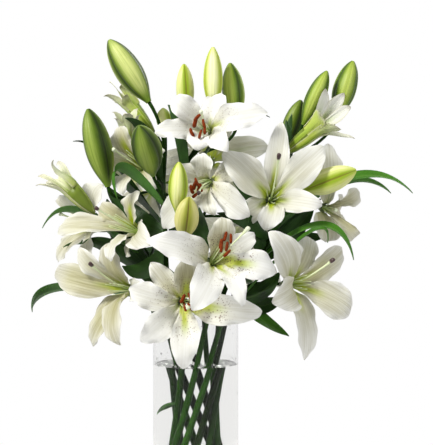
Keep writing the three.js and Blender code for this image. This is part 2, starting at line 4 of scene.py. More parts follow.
import bpy
import numpy as np
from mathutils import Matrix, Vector


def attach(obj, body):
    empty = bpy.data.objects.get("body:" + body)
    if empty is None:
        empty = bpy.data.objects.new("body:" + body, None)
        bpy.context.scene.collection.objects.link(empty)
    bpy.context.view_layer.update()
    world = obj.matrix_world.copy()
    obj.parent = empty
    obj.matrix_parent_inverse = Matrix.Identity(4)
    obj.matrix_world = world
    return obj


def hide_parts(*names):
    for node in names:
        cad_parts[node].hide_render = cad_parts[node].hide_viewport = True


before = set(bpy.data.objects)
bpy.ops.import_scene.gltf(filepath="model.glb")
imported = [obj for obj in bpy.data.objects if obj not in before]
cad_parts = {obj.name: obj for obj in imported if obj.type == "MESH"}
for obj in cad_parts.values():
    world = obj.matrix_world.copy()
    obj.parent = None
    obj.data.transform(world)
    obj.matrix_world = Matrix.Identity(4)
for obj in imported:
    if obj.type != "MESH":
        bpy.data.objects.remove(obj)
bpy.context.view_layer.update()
print("frame loaded")

# The view that the places are read from: its point in mm, its focal length, middle and height in pixels and
# the camera's sensor in mm. A place is [pixels across, pixels down, mm behind the vase's axis].
view = {"side": 29.3, "back": 1512, "up": 425, "focal": 1070.8, "across": 216.5, "down": 222.5,
        "height": 445, "sensor": 36}
fullTurn = 2 * math.pi
gap = 0.3  # between a piece and what carries it


def circle(sides):  # evenly spread angles round a full turn
    return np.linspace(0, fullTurn, sides, endpoint=False)


def unit(way):  # a vector, or each row of vectors, divided by its length
    way = np.asarray(way, float)
    return way / np.linalg.norm(way, axis=-1, keepdims=True)


def seen(place):
    # a place as a point: its pixels from the picture's middle, times its distance over the focal length
    scale = (view["back"] + place[2]) / view["focal"]
    return np.array([view["side"] + (place[0] - view["across"]) * scale, place[2],
                     view["up"] + (view["down"] - place[1]) * scale])


def draw(seed):  # a repeatable draw from 0 to 1: the fraction of a large multiple of the seed's sine
    value = math.sin(seed * 12.9898) * 43758.5453
    return value - math.floor(value)


def squareTo(way):  # a level direction square to the given one, or one square to x where that is upright
    return unit(np.cross([0, 0, 1] if abs(way[2]) < 0.9 else [1, 0, 0], way))


def aroundWay(way, angle):  # the direction at an angle round the given one, from the one square to it
    across = squareTo(way)
    return across * math.cos(angle) + np.cross(way, across) * math.sin(angle)


def turned(vector, axis, degrees):
    # a vector turned about an axis: it times cosine, plus axis cross it times sine, plus its share along
    # the axis
    angle = math.radians(degrees)
    return (vector * math.cos(angle) + np.cross(axis, vector) * math.sin(angle)
            + axis * np.dot(axis, vector) * (1 - math.cos(angle)))


def swell(share, rise, fall):  # (share + 0.05)^rise times (1.01 - share)^fall, scaled to 1 at its widest
    shape = lambda u: (u + 0.05) ** rise * np.maximum(1.01 - u, 0) ** fall
    return shape(share) / shape((1.01 * rise - 0.05 * fall) / (rise + fall))


def bump(amount, middle, wide):  # 1 at the middle, falling off as a bell whose reach is wide
    return np.exp(-(((amount - middle) / wide) ** 2))


def bezier(corners, t):  # points and unit tangents of a Bezier curve with three or four corners
    corners = [np.asarray(corner, float) for corner in corners]
    t = np.asarray(t, float)[:, None]
    if len(corners) == 3:
        a, b, c = corners
        points = (1 - t) ** 2 * a + 2 * (1 - t) * t * b + t * t * c
        return points, unit(2 * (1 - t) * (b - a) + 2 * t * (c - b))
    a, b, c, d = corners
    points = (1 - t) ** 3 * a + 3 * (1 - t) ** 2 * t * b + 3 * (1 - t) * t * t * c + t ** 3 * d
    return points, unit(3 * (1 - t) ** 2 * (b - a) + 6 * (1 - t) * t * (c - b) + 3 * t * t * (d - c))


class Shape:
    # a mesh that is gathered from closed tubes
    def __init__(self):
        self.points, self.faces, self.marks, self.count = [], [], [], 0

    def tube(self, rings, **marks):
        # a grid of rings, closed round and with a fan to the mean of each end ring; its faces are turned
        # over where the volume that they enclose comes out negative
        rows, columns = rings.shape[:2]
        ends = np.stack([rings[0].mean(0), rings[-1].mean(0)])
        index = np.arange(rows * columns).reshape(rows, columns)
        after = np.roll(index, -1, 1)
        quads = np.stack([index[:-1], after[:-1], after[1:], index[1:]], -1).reshape(-1, 4)
        first = np.stack([after[0], index[0], np.full(columns, rows * columns)], -1)
        last = np.stack([index[-1], after[-1], np.full(columns, rows * columns + 1)], -1)
        points = np.concatenate([rings.reshape(-1, 3), ends])
        a, b, c, d = (points[quads[:, k]] for k in range(4))
        volume = np.einsum("ij,ij->", a, np.cross(b, c)) + np.einsum("ij,ij->", a, np.cross(c, d))
        faces = [quads, first, last]
        if volume < 0:
            faces = [part[:, ::-1] for part in faces]
        self.faces += [part + self.count for part in faces]
        self.points.append(points)
        self.count += len(points)
        values = {}
        for name, value in marks.items():
            value = np.broadcast_to(np.asarray(value, float), (rows, columns))
            values[name] = np.concatenate([value.reshape(-1), [value[0].mean(), value[-1].mean()]])
        self.marks.append(values)

    def build(self, name, material, smooth=True):
        # the mesh in metres, with each mark as an attribute of its points
        points = np.concatenate(self.points) * 0.001
        mesh = bpy.data.meshes.new(name)
        sizes = np.concatenate([np.full(len(part), part.shape[1]) for part in self.faces])
        corners = np.concatenate([part.reshape(-1) for part in self.faces])
        mesh.vertices.add(len(points))
        mesh.loops.add(len(corners))
        mesh.polygons.add(len(sizes))
        mesh.vertices.foreach_set("co", points.reshape(-1))
        mesh.loops.foreach_set("vertex_index", corners)
        mesh.polygons.foreach_set("loop_start", np.concatenate([[0], np.cumsum(sizes)[:-1]]))
        mesh.update(calc_edges=True)
        mesh.polygons.foreach_set("use_smooth", np.full(len(sizes), smooth))
        for mark in sorted({key for values in self.marks for key in values}):
            layer = mesh.attributes.new(mark, "FLOAT", "POINT")
            parts = zip(self.marks, self.points)
            column = np.concatenate([values.get(mark, np.zeros(len(part))) for values, part in parts])
            layer.data.foreach_set("value", column.astype(np.float32))
        mesh.validate()
        mesh.materials.append(material)
        made = bpy.data.objects.new(name, mesh)
        bpy.context.scene.collection.objects.link(made)
        return made


def makePiece(shape, name, material, node):  # the shape as a finer piece in place of a node
    piece = shape.build(name, material)
    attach(piece, "root")
    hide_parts(node)


def rod(shape, points, radii, sides=12, ripple=None, **marks):
    # circles of the given radii, times the ripple of their angle, square to the path, on directions that
    # are carried along it
    ways = unit(np.gradient(points, axis=0))
    over = squareTo(ways[0])
    carried = []
    for way in ways:
        over = unit(over - way * np.dot(over, way))
        carried.append(over)
    over = np.array(carried)
    up = np.cross(ways, over)
    turn = circle(sides)
    reach = np.asarray(radii, float)[:, None] * (np.ones(sides) if ripple is None else ripple(turn))[None]
    rings = (points[:, None] + over[:, None] * (reach * np.cos(turn))[..., None]
             + up[:, None] * (reach * np.sin(turn))[..., None])
    marks = {name: (value[:, None] if np.ndim(value) == 1 else value) for name, value in marks.items()}
    shape.tube(rings, turn=turn[None] / fullTurn, **marks)


def sidesOf(columns):  # shares from -1 to 1 across a blade, closer together at its edges
    return -np.cos(np.linspace(0, math.pi, columns))


def blade(shape, points, ways, across, side, wide, high, thick, **marks):
    # two faces, half the thickness to each side of point + across * wide * side + inner direction * high
    over = unit(across - ways * np.sum(across * ways, -1, keepdims=True))
    inner = np.cross(ways, over)
    middle = points[:, None] + over[:, None] * (wide * side)[..., None] + inner[:, None] * high[..., None]
    face = inner[:, None] * thick * (0.25 + 0.75 * (1 - side ** 4))[None, :, None] / 2
    rings = np.concatenate([middle + face, (middle - face)[:, ::-1]], 1)
    both = lambda value: np.concatenate([value, value[:, ::-1]], 1)
    marks = {name: both(np.broadcast_to(value, wide.shape)) for name, value in marks.items()}
    front = np.concatenate([np.ones(wide.shape), np.zeros(wide.shape)], 1)
    flat = np.broadcast_to(side, wide.shape)
    shape.tube(rings, side=both(flat), over=both(flat * wide), front=front, **marks)


def turnedBody(shape, profile, sides):  # a profile of radius and height turned about the upright
    profile = np.array(profile, float)
    turn = circle(sides)
    shape.tube(np.stack([profile[:, :1] * np.cos(turn), profile[:, :1] * np.sin(turn),
                         np.broadcast_to(profile[:, 1:], (len(profile), sides))], -1))


# Shader maths
class Amount:
    # a socket with + - * and a few functions as Math nodes
    def __init__(self, paint, socket):
        self.paint, self.socket = paint, socket

    def maths(self, operation, first, second=None):
        inputs = {0: first} if second is None else {0: first, 1: second}
        return self.paint.add("ShaderNodeMath", inputs, operation=operation)

    def __add__(self, other):
        return self.maths("ADD", self, other)

    __radd__ = __add__

    def __sub__(self, other):
        return self.maths("SUBTRACT", self, other)

    def __rsub__(self, other):
        return self.maths("SUBTRACT", other, self)

    def __mul__(self, other):
        return self.maths("MULTIPLY", self, other)

    __rmul__ = __mul__

    def __abs__(self):
        return self.maths("ABSOLUTE", self)

    def wave(self):
        return self.maths("SINE", self)

    def most(self, other):
        return self.maths("MAXIMUM", self, other)

    def below(self, limit):  # 1 where it is less than the limit, else 0
        return self.maths("LESS_THAN", self, limit)


class Paint:
    # the nodes of a material or of the world
    def __init__(self, owner):
        owner.use_nodes = True
        self.owner, self.tree = owner, owner.node_tree
        self.tree.nodes.clear()

    def add(self, kind, inputs=None, output=0, **settings):
        node = self.tree.nodes.new(kind)
        for key, value in settings.items():
            setattr(node, key, value)
        for key, value in (inputs or {}).items():
            socket = node.inputs[key]
            if isinstance(value, Amount):
                self.tree.links.new(value.socket, socket)
            elif isinstance(value, tuple) and socket.type == "RGBA":
                socket.default_value = (*value, 1)
            else:
                socket.default_value = value
        return Amount(self, node.outputs[output]) if node.outputs else node

    def marks(self, *names):
        return [self.add("ShaderNodeAttribute", output="Fac", attribute_name=name) for name in names]

    def vector(self, x, y, z):
        return self.add("ShaderNodeCombineXYZ", {0: x, 1: y, 2: z})

    def spot(self):
        return self.add("ShaderNodeTexCoord", output="Object")

    def noise(self, vector, scale, detail=3.0, roughness=0.5):
        return self.add("ShaderNodeTexNoise", {"Vector": vector, "Scale": scale, "Detail": detail,
                                               "Roughness": roughness})

    def band(self, amount, low, high):  # a smooth step from 0 at low to 1 at high
        return self.add("ShaderNodeMapRange", {"Value": amount, "From Min": low, "From Max": high},
                        interpolation_type="SMOOTHSTEP")

    def blend(self, share, first, second):  # a colour between two
        return self.add("ShaderNodeMix", {0: share, 6: first, 7: second}, output=2, data_type="RGBA")

    def lay(self, share, shade):  # a share of the shade over the colour so far
        self.colour = self.blend(share, self.colour, shade)

    def between(self, share, first, second):  # a number between two
        return self.add("ShaderNodeMix", {0: share, 2: first, 3: second})

    def bump(self, height, strength, distance):
        return self.add("ShaderNodeBump", {"Strength": strength, "Distance": distance, "Height": height})

    def gloss(self, **sockets):
        names = {key: key.replace("_", " ").title().replace("Ior", "IOR") for key in sockets}
        return self.add("ShaderNodeBsdfPrincipled", {names[key]: value for key, value in sockets.items()})

    def skin(self, grain, plain, shine, normal, **sockets):
        # a skin in the colour so far, whose roughness is a fifth of the grain plus a plain share
        return self.gloss(base_color=self.colour, roughness=grain * 0.2 + plain, normal=normal,
                          specular_ior_level=shine, **sockets)

    def thin(self, share, skin, colour, normal):  # a skin that lets a share of the light through
        through = self.add("ShaderNodeBsdfTranslucent", {"Color": colour, "Normal": normal})
        return self.finish(self.add("ShaderNodeMixShader", {0: share, 1: skin, 2: through}))

    def finish(self, shader):
        kind = "World" if isinstance(self.owner, bpy.types.World) else "Material"
        self.add("ShaderNodeOutput" + kind, {"Surface": shader})
        return self.owner


def newPaint(name):
    return Paint(bpy.data.materials.new(name))


# Vase, water and beads
vase = {"radius": 60, "height": 300, "wall": 3, "floor": 12, "water": 226, "round": 3, "meniscus": 0.7,
        "sunk": 0.06}  # the water reaches into the glass by this
drops = {"count": 70, "size": 1.1, "reach": 60}


def glassPaint(name, colour, ior, shine):
    # clear glass or water with faint reflections, which lets the lamps' light through to what is inside
    p = newPaint(name)
    clear = p.gloss(base_color=colour, roughness=p.noise(p.spot(), 18.0, 2.0) * 0.004, ior=ior,
                    transmission_weight=1.0, specular_tint=(shine, shine, shine))
    through = p.add("ShaderNodeBsdfTransparent", {"Color": (0.93, 0.95, 0.94)})
    shadow = p.add("ShaderNodeLightPath", output="Is Shadow Ray")
    return p.finish(p.add("ShaderNodeMixShader", {0: shadow, 1: clear, 2: through}))


def arc(x, z, radius, start, end, steps):  # points of a circle's arc between two angles
    return [(x + radius * math.cos(a), z + radius * math.sin(a)) for a in np.linspace(start, end, steps)]


def vaseShape(radius, height, wall, floor, edge):
    # out along the foot, round its edge, up the outside, over the round rim, down the inside and in
    quarter = math.pi / 2
    shape = Shape()
    turnedBody(shape, [
        (0.01, 0), (radius - 30, 0), *arc(radius - edge, edge, edge, -quarter, 0, 7),
        *[(radius, z) for z in np.linspace(20, height - 20, 12)],
        *arc(radius - wall / 2, height - wall / 2, wall / 2, 0, math.pi, 13),
        *[(radius - wall, z) for z in np.linspace(height - 20, 30, 12)],
        *arc(radius - wall - edge, floor + edge, edge, 0, -quarter, 7),
        (radius - 30, floor), (0.01, floor),
    ], 128)
    return shape


def waterShape(radius, floor, level, edge, meniscus, sunk):
    # from the floor round its edge and up the wall, then in over a top whose rim climbs the glass by the
    # meniscus, which dies away as exp(-distance / 1.2)
    shape = Shape()
    turnedBody(shape, [
        (0.01, floor - sunk), (radius - 20, floor - sunk),
        *arc(radius - edge, floor + edge, edge, -math.pi / 2, 0, 7),
        *[(radius, z) for z in np.linspace(30, level - 2, 12)],
        *[(radius, level + above) for above in (-0.8, 0.2, meniscus)],
        *[(radius - d, level + meniscus * math.exp(-d / 1.2)) for d in (0.5, 1, 1.6, 2.5, 4, 8)],
        (20, level), (0.01, level),
    ], 128)
    return shape


def dropShape():
    # beads that cling to the wall above the water, most of them near it, because their height is the reach
    # times a draw to the fourth power
    shape = Shape()
    share = np.linspace(-0.999, 0.999, 9)
    wall = vase["radius"] - vase["wall"] - 0.15
    for k in range(drops["count"]):
        angle = fullTurn * draw(k + 0.3)
        high = vase["water"] + 1 + drops["reach"] * draw(3 * k + 0.7) ** 4
        size = drops["size"] * (0.5 + draw(5 * k + 0.1))
        middle = np.array([wall * math.cos(angle), wall * math.sin(angle), high])
        rod(shape, middle + np.outer(share * size, [0, 0, 1]), size * np.sqrt(1 - share ** 2))
    return shape


glass = glassPaint("vaseGlass", (0.991, 0.99, 0.984), 1.5, 0.4)
water = glassPaint("vaseWater", (0.994, 0.993, 0.988), 1.333, 0.25)
makePiece(vaseShape(vase["radius"], vase["height"], vase["wall"], vase["floor"], vase["round"]),
          "vase_glass", glass, "vase")
makePiece(waterShape(vase["radius"] - vase["wall"] + vase["sunk"], vase["floor"], vase["water"],
                     vase["round"], vase["meniscus"], vase["sunk"]),
          "vase_water", water, "water")
makePiece(dropShape(), "vase_drops", water, "water")
print("vase and water built")

# Flowers and opening buds. A flower has the number of its stem, its throat as a place and the way that it
# faces (right, back, up). Its six tips are places with their tepals' widths, or spread evenly from a turn in
# degrees. Lists of six follow the tips: how much painted shade a tepal gets (cream and beige on an open
# flower, less white at the tips of a bud that opens), how spotted it is and how lime at the throat. The
# style leans and the anthers sway by mm to the right, back and up. Ruffled and short are shares of the usual
# ruffles and height.
plainFlower = {"warm": [0.4] * 6, "spots": [0] * 6, "lime": [0.5] * 6, "lean": [0, 0, 2], "sway": [0, 0, 0],
               "ruffled": 1, "short": 1, "anthers": False, "darkTip": False}
blooms = {
    "bloom_top": {
        "stem": 4, "throat": [207, 130, -20], "faces": [-0.15, -0.95, 0.25], "anthers": True,
        "tips": [[170, 98, -42, 42], [221, 92, 15, 38], [268, 112, -38, 44], [228, 152, -80, 36],
                 [197, 151, -62, 48], [153, 134, -50, 34]],  # the first one is narrower than in the solids
        "warm": [0.12, 0.05, 0.05, 0.12, 0.05, 0.1], "spots": [0.3] * 6,
        "lime": [0.15, 0.35, 0.4, 0.3, 0.15, 0.15],
        "lean": [2, 0, 4], "sway": [-5, 0, -8], "ruffled": 1.5,
    },
    "bloom_middle": {
        "stem": 5, "throat": [208, 182, -40], "faces": [-0.25, -0.95, -0.05], "anthers": True,
        "tips": [[203, 152, -75, 44], [240, 165, -25, 36], [250, 217, -82, 48], [215, 216, -91, 34],
                 [162, 229, -62, 46], [176, 168, -35, 34]],
        "warm": [0.3, 0.35, 0.2, 0.4, 0.2, 0.4], "spots": [0.4] * 6, "darkTip": True,
        "lime": [0.3, 0.4, 0.25, 0.4, 0.3, 0.3], "lean": [4, 0, -14], "sway": [-6, 0, -7], "ruffled": 1.4,
    },
    "bloom_front": {
        "stem": 5, "throat": [213, 262, -85], "faces": [0.3, -0.92, 0.25], "anthers": True,
        "tips": [[222, 216, -115, 46], [256, 234, -69, 34], [277, 272, -100, 50], [243, 307, -153, 32],
                 [192, 311, -160, 50], [146, 240, -142, 44]],
        "warm": [0.75, 0.2, 0.05, 0.05, 0.05, 0.1], "spots": [1, 0.6, 1, 0.5, 0.4, 0.4],
        "lime": [0.45, 0.6, 1, 0.6, 0.45, 0.2], "lean": [27, 0, 30], "sway": [3, 0, 13], "ruffled": 1.4,
    },
    "bloom_low_front": {
        "stem": 8, "throat": [183, 302, -75], "faces": [0.1, -0.97, -0.1], "anthers": True,
        "tips": [[128, 289, -83, 46], [150, 262, -72, 34], [188, 256, -105, 44], [263, 312, -92, 44],
                 [183, 370, -120, 42], [140, 342, -110, 46]],  # the last one is wider than in the solids
        "warm": [0.15, 0.5, 1, 0.25, 0.1, 0.05], "spots": [0.5, 0.6, 1, 1, 0.7, 0.4],
        "lime": [0.15, 0.4, 0.85, 0.8, 0.7, 0.2], "lean": [2, 0, 4], "sway": [8, 0, 8], "ruffled": 1.6,
    },
    "bloom_left": {
        "stem": 8, "throat": [128, 289, -10], "faces": [-0.55, -0.8, 0.1], "darkTip": True,
        "tips": [[54, 272, 20, 50], [78, 247, -20, 36], [108, 242, -30, 46], [152, 292, -72, 34],
                 [120, 346, -80, 40], [92, 347, -10, 34]],
        "warm": [0.75, 0.6, 0.75, 0.3, 0.8, 0.85], "lime": [0.4, 0.35, 0.3, 0.3, 0.2, 0.2],
        "lean": [-12, 0, 32],
    },
    "bloom_low_right": {  # about 5 mm from its solid's place, with wider tepals
        "stem": 9, "throat": [291, 284, -20], "faces": [0.5, -0.82, 0.05], "darkTip": True,
        "tips": [[351, 314, -25, 62], [305, 361, -45, 38], [272, 303, -95, 56], [269, 231, -80, 52],
                 [311, 237, 5, 64], [343, 247, 5, 46]],
        "warm": [0.55, 0.4, 0.5, 0.35, 0.6, 0.7], "lime": [0.6, 0.5, 0.4, 0.4, 0.5, 0.5],
        "lean": [21, 0, 33],
    },
    "bloom_upper_right": {
        "stem": 7, "throat": [271, 199, -10], "faces": [0.05, -0.97, 0.1], "darkTip": True,
        "tips": [[325, 146, -25, 52], [281, 121, -10, 36], [222, 152, -30, 50], [232, 225, -35, 36],
                 [265, 231, -56, 46], [323, 206, -55, 36]],
        "warm": [0.3, 0.3, 0.35, 0.3, 0.3, 0.25], "lime": [0.5, 0.7, 0.5, 0.5, 0.8, 0.5],
        "lean": [4, -6, 52],
    },
    "bloom_far_right": {  # turned more to the viewer than its solid, about 11 mm from it, with wider tepals
        "stem": 7, "throat": [327, 209, 20], "faces": [0.4, -0.9, -0.15], "short": 0.5,
        "tips": [[361, 234, 4, 80], [326, 243, 10, 54], [359, 189, 0, 46], [329, 143, 50, 60],
                 [345, 200, 115, 34], [340, 235, 95, 44]],
        "warm": [0.85, 0.7, 0.75, 0.45, 0.7, 0.7], "lime": [0.1] * 6,
    },
    "bloom_left_middle": {
        "stem": 1, "throat": [134, 230, -30], "faces": [-0.7, -0.6, 0.35], "darkTip": True,
        "tips": [[139, 190, -45, 40], [57, 233, -6, 40], [100, 205, -12, 34], [125, 255, -2, 44],
                 [110, 262, -60, 36], [150, 245, -95, 44]],
        "warm": [0.7, 0.6, 0.9, 0.6, 0.5, 0.5], "lime": [1, 0.3, 0.6, 0.4, 0.3, 0.4], "lean": [-4, 0, 8],
    },
    "bloom_far_left": {  # turned more to the viewer than its solid, with wider tepals
        "stem": 1, "throat": [95, 226, 40], "faces": [-0.72, -0.65, 0.25],
        "tips": [[103, 184, 0, 64], [56, 199, 30, 54], [57, 262, 62, 42], [92, 262, -20, 34],
                 [80, 194, 105, 44], [85, 250, 105, 34]],
        "warm": [0.55, 0.5, 0.6, 0.6, 0.6, 0.6], "lime": [0.3] * 6,
    },
    "bloom_upper_left": {
        "stem": 3, "throat": [140, 167, 10], "faces": [-0.5, -0.75, 0.3],
        "tips": [[97, 158, 0, 46], [122, 195, -35, 34], [120, 125, 2, 44], [145, 130, -10, 34],
                 [155, 190, -30, 44], [165, 150, -40, 34]],
        "warm": [0.6, 0.5, 0.8, 0.8, 0.5, 0.6], "lime": [0.5, 0.4, 1, 0.9, 0.4, 0.5],
    },
    "bloom_back_left": {"stem": 10, "throat": [152, 187, 125], "faces": [-0.45, 0.85, 0.2], "turn": 20},
    "bloom_back_right": {"stem": 10, "throat": [236, 251, 135], "faces": [0.35, 0.9, 0.15], "turn": 35},
    "bloom_back_top": {"stem": 4, "throat": [211, 160, 115], "faces": [0.05, 0.9, 0.4], "turn": 50},
}
opening = {
    "opening_left": {
        "stem": 1, "throat": [78, 196, -20], "faces": [-0.7, -0.1, 0.75],
        "tips": [[52, 160, -26, 34], [57, 161, 2, 30], [38, 175, -8, 22], [36, 184, -24, 20],
                 [62, 168, 16, 28], [46, 181, 10, 24]],
        "warm": [0.5, 0.5, 1, 1, 0.8, 0.8], "lime": [0.8, 0.6, 0.2, 0.2, 0.5, 0.3],
    },
    "opening_top_left": {
        "stem": 2, "throat": [139, 115, 57], "faces": [-0.6, 0.05, 0.7],
        "tips": [[121, 84, 42, 34], [109, 81, 64, 22], [104, 95, 50, 20], [124, 88, 76, 30],
                 [113, 99, 74, 24], [124, 95, 36, 26]],
        "warm": [1] * 6, "lime": [0.9, 0.3, 0.3, 0.6, 0.3, 0.9],
    },
    "opening_pale": {
        "stem": 3, "throat": [130, 142, 30], "faces": [-0.1, -0.25, 0.9],
        "turn": 10, "lift": 46, "reach": 20, "warm": [0.6] * 6, "lime": [0.7] * 6,
    },
    "opening_right": {
        "stem": 6, "throat": [302, 139, -5], "faces": [0.62, -0.3, 0.5],
        "tips": [[327, 89, 4, 36], [345, 93, 22, 30], [351, 106, 4, 28], [355, 137, -14, 20],
                 [321, 113, -48, 40], [341, 128, -46, 38]],
        "warm": [0, 0, 0, 0.4, 1, 0.7], "lime": [0.1, 0.1, 0.1, 0.2, 1, 1],
    },
}

# How an open flower and a bud that begins to open are made: how deep they reach behind the throat, the
# radii of their middle by height, how their outer and inner tepals climb, bend back, narrow, ruffle and cup,
# and where evenly spread tips lie
openLook = {
    "depth": 24, "body": [[0, 3.0], [4, 4.4], [13, 6.6]], "rise": [0.46, 0.36], "recurve": 35,
    "swell": [0.8, 0.88], "waist": 0.85, "ruffle": 3.4, "cup": 0.5, "flatten": 0.55, "root": 3.4,
    "sheath": 0, "lift": 14, "reach": 92, "lag": 24, "widths": [46, 34],
}
openingLook = {
    "depth": 34, "body": [[0, 3.0], [6, 5.6], [14, 8.4], [24, 10.6], [36, 12.2], [47, 12.9]],
    "rise": [0.5, 0.45], "recurve": -50, "swell": [0.25, 0.68], "waist": 0, "ruffle": 0.5, "cup": 0.6,
    "flatten": 0.4, "root": 6.4, "sheath": 0.6, "lag": 6, "widths": [25, 20],
}
tepalLook = {"thick": 1.0, "rows": 34, "columns": 17, "waves": 2.4, "handle": 0.36, "channel": 0.9,
             "pleat": 0.8, "curl": 2.2, "bow": 0.6, "inset": 1.2, "edge": 0.35, "sheathRows": 14}
stamenLook = {"rise": 64, "near": 3.5, "spread": 8.5, "thick": 0.9, "knee": 12, "anther": 6.6, "droop": 1.8,
              "fat": 2.15}
styleHeight = 74
styleProfile = [[0, 2.6], [3, 2.6], [6, 1.9], [10, 1.35], [20, 1.15], [30, 1.05], [40, 1.0], [50, 1.0],
                [60, 1.1], [67, 1.5], [70, 2.4], [72.5, 2.9], [74, 2.5], [74.8, 0.8]]  # height and radius
flowers = {name: {**plainFlower, **item, "look": look}
           for table, look in ((blooms, openLook), (opening, openingLook)) for name, item in table.items()}


def footOf(item):  # the way a flower faces, and its foot, which lies its depth behind the throat
    way = unit(item["faces"])
    return way, seen(item["throat"]) - way * item["look"]["depth"]


def tipsOf(item):  # the tips as points with widths, given one by one or spread evenly round the throat
    if "tips" in item:
        return [(seen(tip), tip[3]) for tip in item["tips"]]
    way = unit(item["faces"])
    look = {**item["look"], **item}
    found = []
    for k in range(6):
        out = aroundWay(way, math.radians(item["turn"] + 60 * k))
        tip = seen(item["throat"]) + way * (look["lift"] - (k % 2) * look["lag"]) + out * look["reach"]
        found.append((tip, look["widths"][k % 2]))
    return found


def aimsOf(item):  # the tepals as [angle, number, tip, width, way out], in their order round the flower
    way, foot = footOf(item)
    across = squareTo(way)
    up = np.cross(way, across)
    aims = []
    for k, (tip, width) in enumerate(tipsOf(item)):
        reach = tip - foot
        out = unit(reach - way * np.dot(reach, way))
        aims.append([math.atan2(out @ up, out @ across), k, tip, width, out])
    return sorted(aims, key=lambda aim: aim[0])


def tepalWide(side, u, full, distance, rooms, cup):
    # the full half width, softly kept under 1.3 times the distance from the axis times the room to the
    # next tepal, which is the tangent of half the angle between the two
    room = np.where(side > 0, rooms[1], rooms[0])[None]
    room = np.where(room < 0, 9, np.minimum(room, 9))
    limit = 1.3 * distance * room / (1 + cup * room * (1 - u))
    return np.maximum(1 / (full ** -6 + limit ** -6) ** (1 / 6), tepalLook["edge"])


def tepalHigh(side, u, wide, item, seed):
    # the sides cup towards the front, two sine waves ruffle the edges, a channel runs along the rib
    # between low pleats, the tip curls down and the middle bows
    look = item["look"]
    phases = [fullTurn * draw(seed + sign) for sign in (-1, 1)]
    phase = np.where(side > 0, phases[1], phases[0])[None]
    beat = fullTurn * tepalLook["waves"] * u + phase
    edge = np.abs(side)[None]
    strength = look["ruffle"] * item["ruffled"] * np.minimum(2 * u, 1) * (1 - u) ** 0.3
    ruffle = strength * (np.sin(beat) * edge ** 2.2 + 0.45 * np.sin(2.3 * beat + 1.7 * phase) * edge ** 5)
    channel = tepalLook["channel"] * bump(side[None] * wide, 0, 1.8) * (1 - u) * np.minimum(6 * u, 1)
    lines = np.cos(side[None] * 9.5 + draw(seed + 5))
    pleats = tepalLook["pleat"] * lines * np.minimum(4 * u, 1) * (1 - u)
    curl = tepalLook["curl"] * np.clip((u - 0.86) / 0.14, 0, 1) ** 2
    bow = tepalLook["bow"] * np.sin(3 * math.pi * u + 5 * draw(seed + 7)) * wide / 12
    cup = (look["cup"] - look["flatten"] * u) * wide * edge ** 1.5
    return cup + ruffle - channel + pleats - curl + bow * (1 - edge)


def tepal(shape, item, aim, rooms, seed):
    # a blade on a curve up from the rim of the flower's middle, then out and back at its tip; its half
    # width swells and runs to a point, less a waist above the root. In a bud that opens it starts at the
    # foot of the middle, which it sheathes
    look = item["look"]
    way, foot = footOf(item)
    _, k, tip, width, out = aim
    outer = k % 2
    height, radius = look["body"][-1]
    t = np.linspace(0, 1, tepalLook["rows"]) ** 0.9
    start = foot + way * (height - (0 if look["sheath"] else 3)) + out * (radius - tepalLook["inset"] + outer)
    length = np.linalg.norm(tip - start)
    end = out * math.cos(math.radians(look["recurve"])) - way * math.sin(math.radians(look["recurve"]))
    points, ways = bezier([start, start + way * look["rise"][outer] * length,
                           tip - end * tepalLook["handle"] * length, tip], t)
    distance = np.maximum((points - foot) @ out, 1)[:, None]
    u = t[:, None]
    full = (width / 2) * swell(u, *look["swell"]) * (1 - look["waist"] * bump(u, 0, 0.25))
    full = np.maximum(full, look["root"] * np.clip(1 - u / 0.35, 0, 1) ** 0.7)
    along = u
    if look["sheath"]:
        climb = np.linspace(0.02, 0.98, tepalLook["sheathRows"])[:, None]
        body = np.array(look["body"])
        girth = np.interp(climb * height, body[:, 0], body[:, 1])
        cover = foot + way * height * climb + out * (girth - tepalLook["inset"] + outer)
        points = np.concatenate([cover, points])
        ways = unit(np.gradient(points, axis=0))
        total = np.concatenate([[0], np.cumsum(np.linalg.norm(np.diff(points, axis=0), axis=1))])
        along = (total / total[-1])[:, None]
        distance = np.concatenate([girth, distance])
        full = np.concatenate([girth * look["sheath"], np.minimum(full, girth[-1] * 1.1)])
        u = np.concatenate([climb * 0, u])
    side = sidesOf(tepalLook["columns"])
    wide = tepalWide(side, u, full, distance, rooms, look["cup"])
    high = tepalHigh(side, u, wide, item, seed)
    points = points - way * 1.4 * outer * np.sin(math.pi * u)
    blade(shape, points, ways, np.cross(way, out), side, wide, high, tepalLook["thick"], along=along,
          far=along * length, pick=draw(seed + 11), warm=item["warm"][k], spots=item["spots"][k],
          lime=item["lime"][k])


def flowerShape(item, seed):  # six tepals round a short middle, whose circles have the radii of its body
    shape = Shape()
    aims = aimsOf(item)
    for n, aim in enumerate(aims):
        gaps = [(aim[0] - aims[n - 1][0]) % fullTurn, (aims[(n + 1) % 6][0] - aim[0]) % fullTurn]
        tepal(shape, item, aim, [math.tan(gap / 2) for gap in gaps], seed + 3 * aim[1])
    way, foot = footOf(item)
    body = np.array(item["look"]["body"])
    girth = body[:, 1] - (1.6 if item["look"]["sheath"] else 0)
    rod(shape, foot + way * body[:, :1], girth, 24, along=0.0, front=0.5, side=0.3, pick=0.5)
    return shape


def styleShape(item):  # the style bends with the square of its height and ends in three lobes
    heights, radii = np.transpose(styleProfile)
    way, foot = footOf(item)
    share = heights / styleHeight
    bottom = item["look"]["body"][-1][0] + gap
    path = foot + way * (bottom + item["short"] * heights)[:, None] + np.outer(share ** 2, item["lean"])
    shape = Shape()
    rod(shape, path, radii, 18, along=share, kind=0.0, ripple=lambda turn: 1 + 0.12 * np.cos(3 * turn))
    return shape


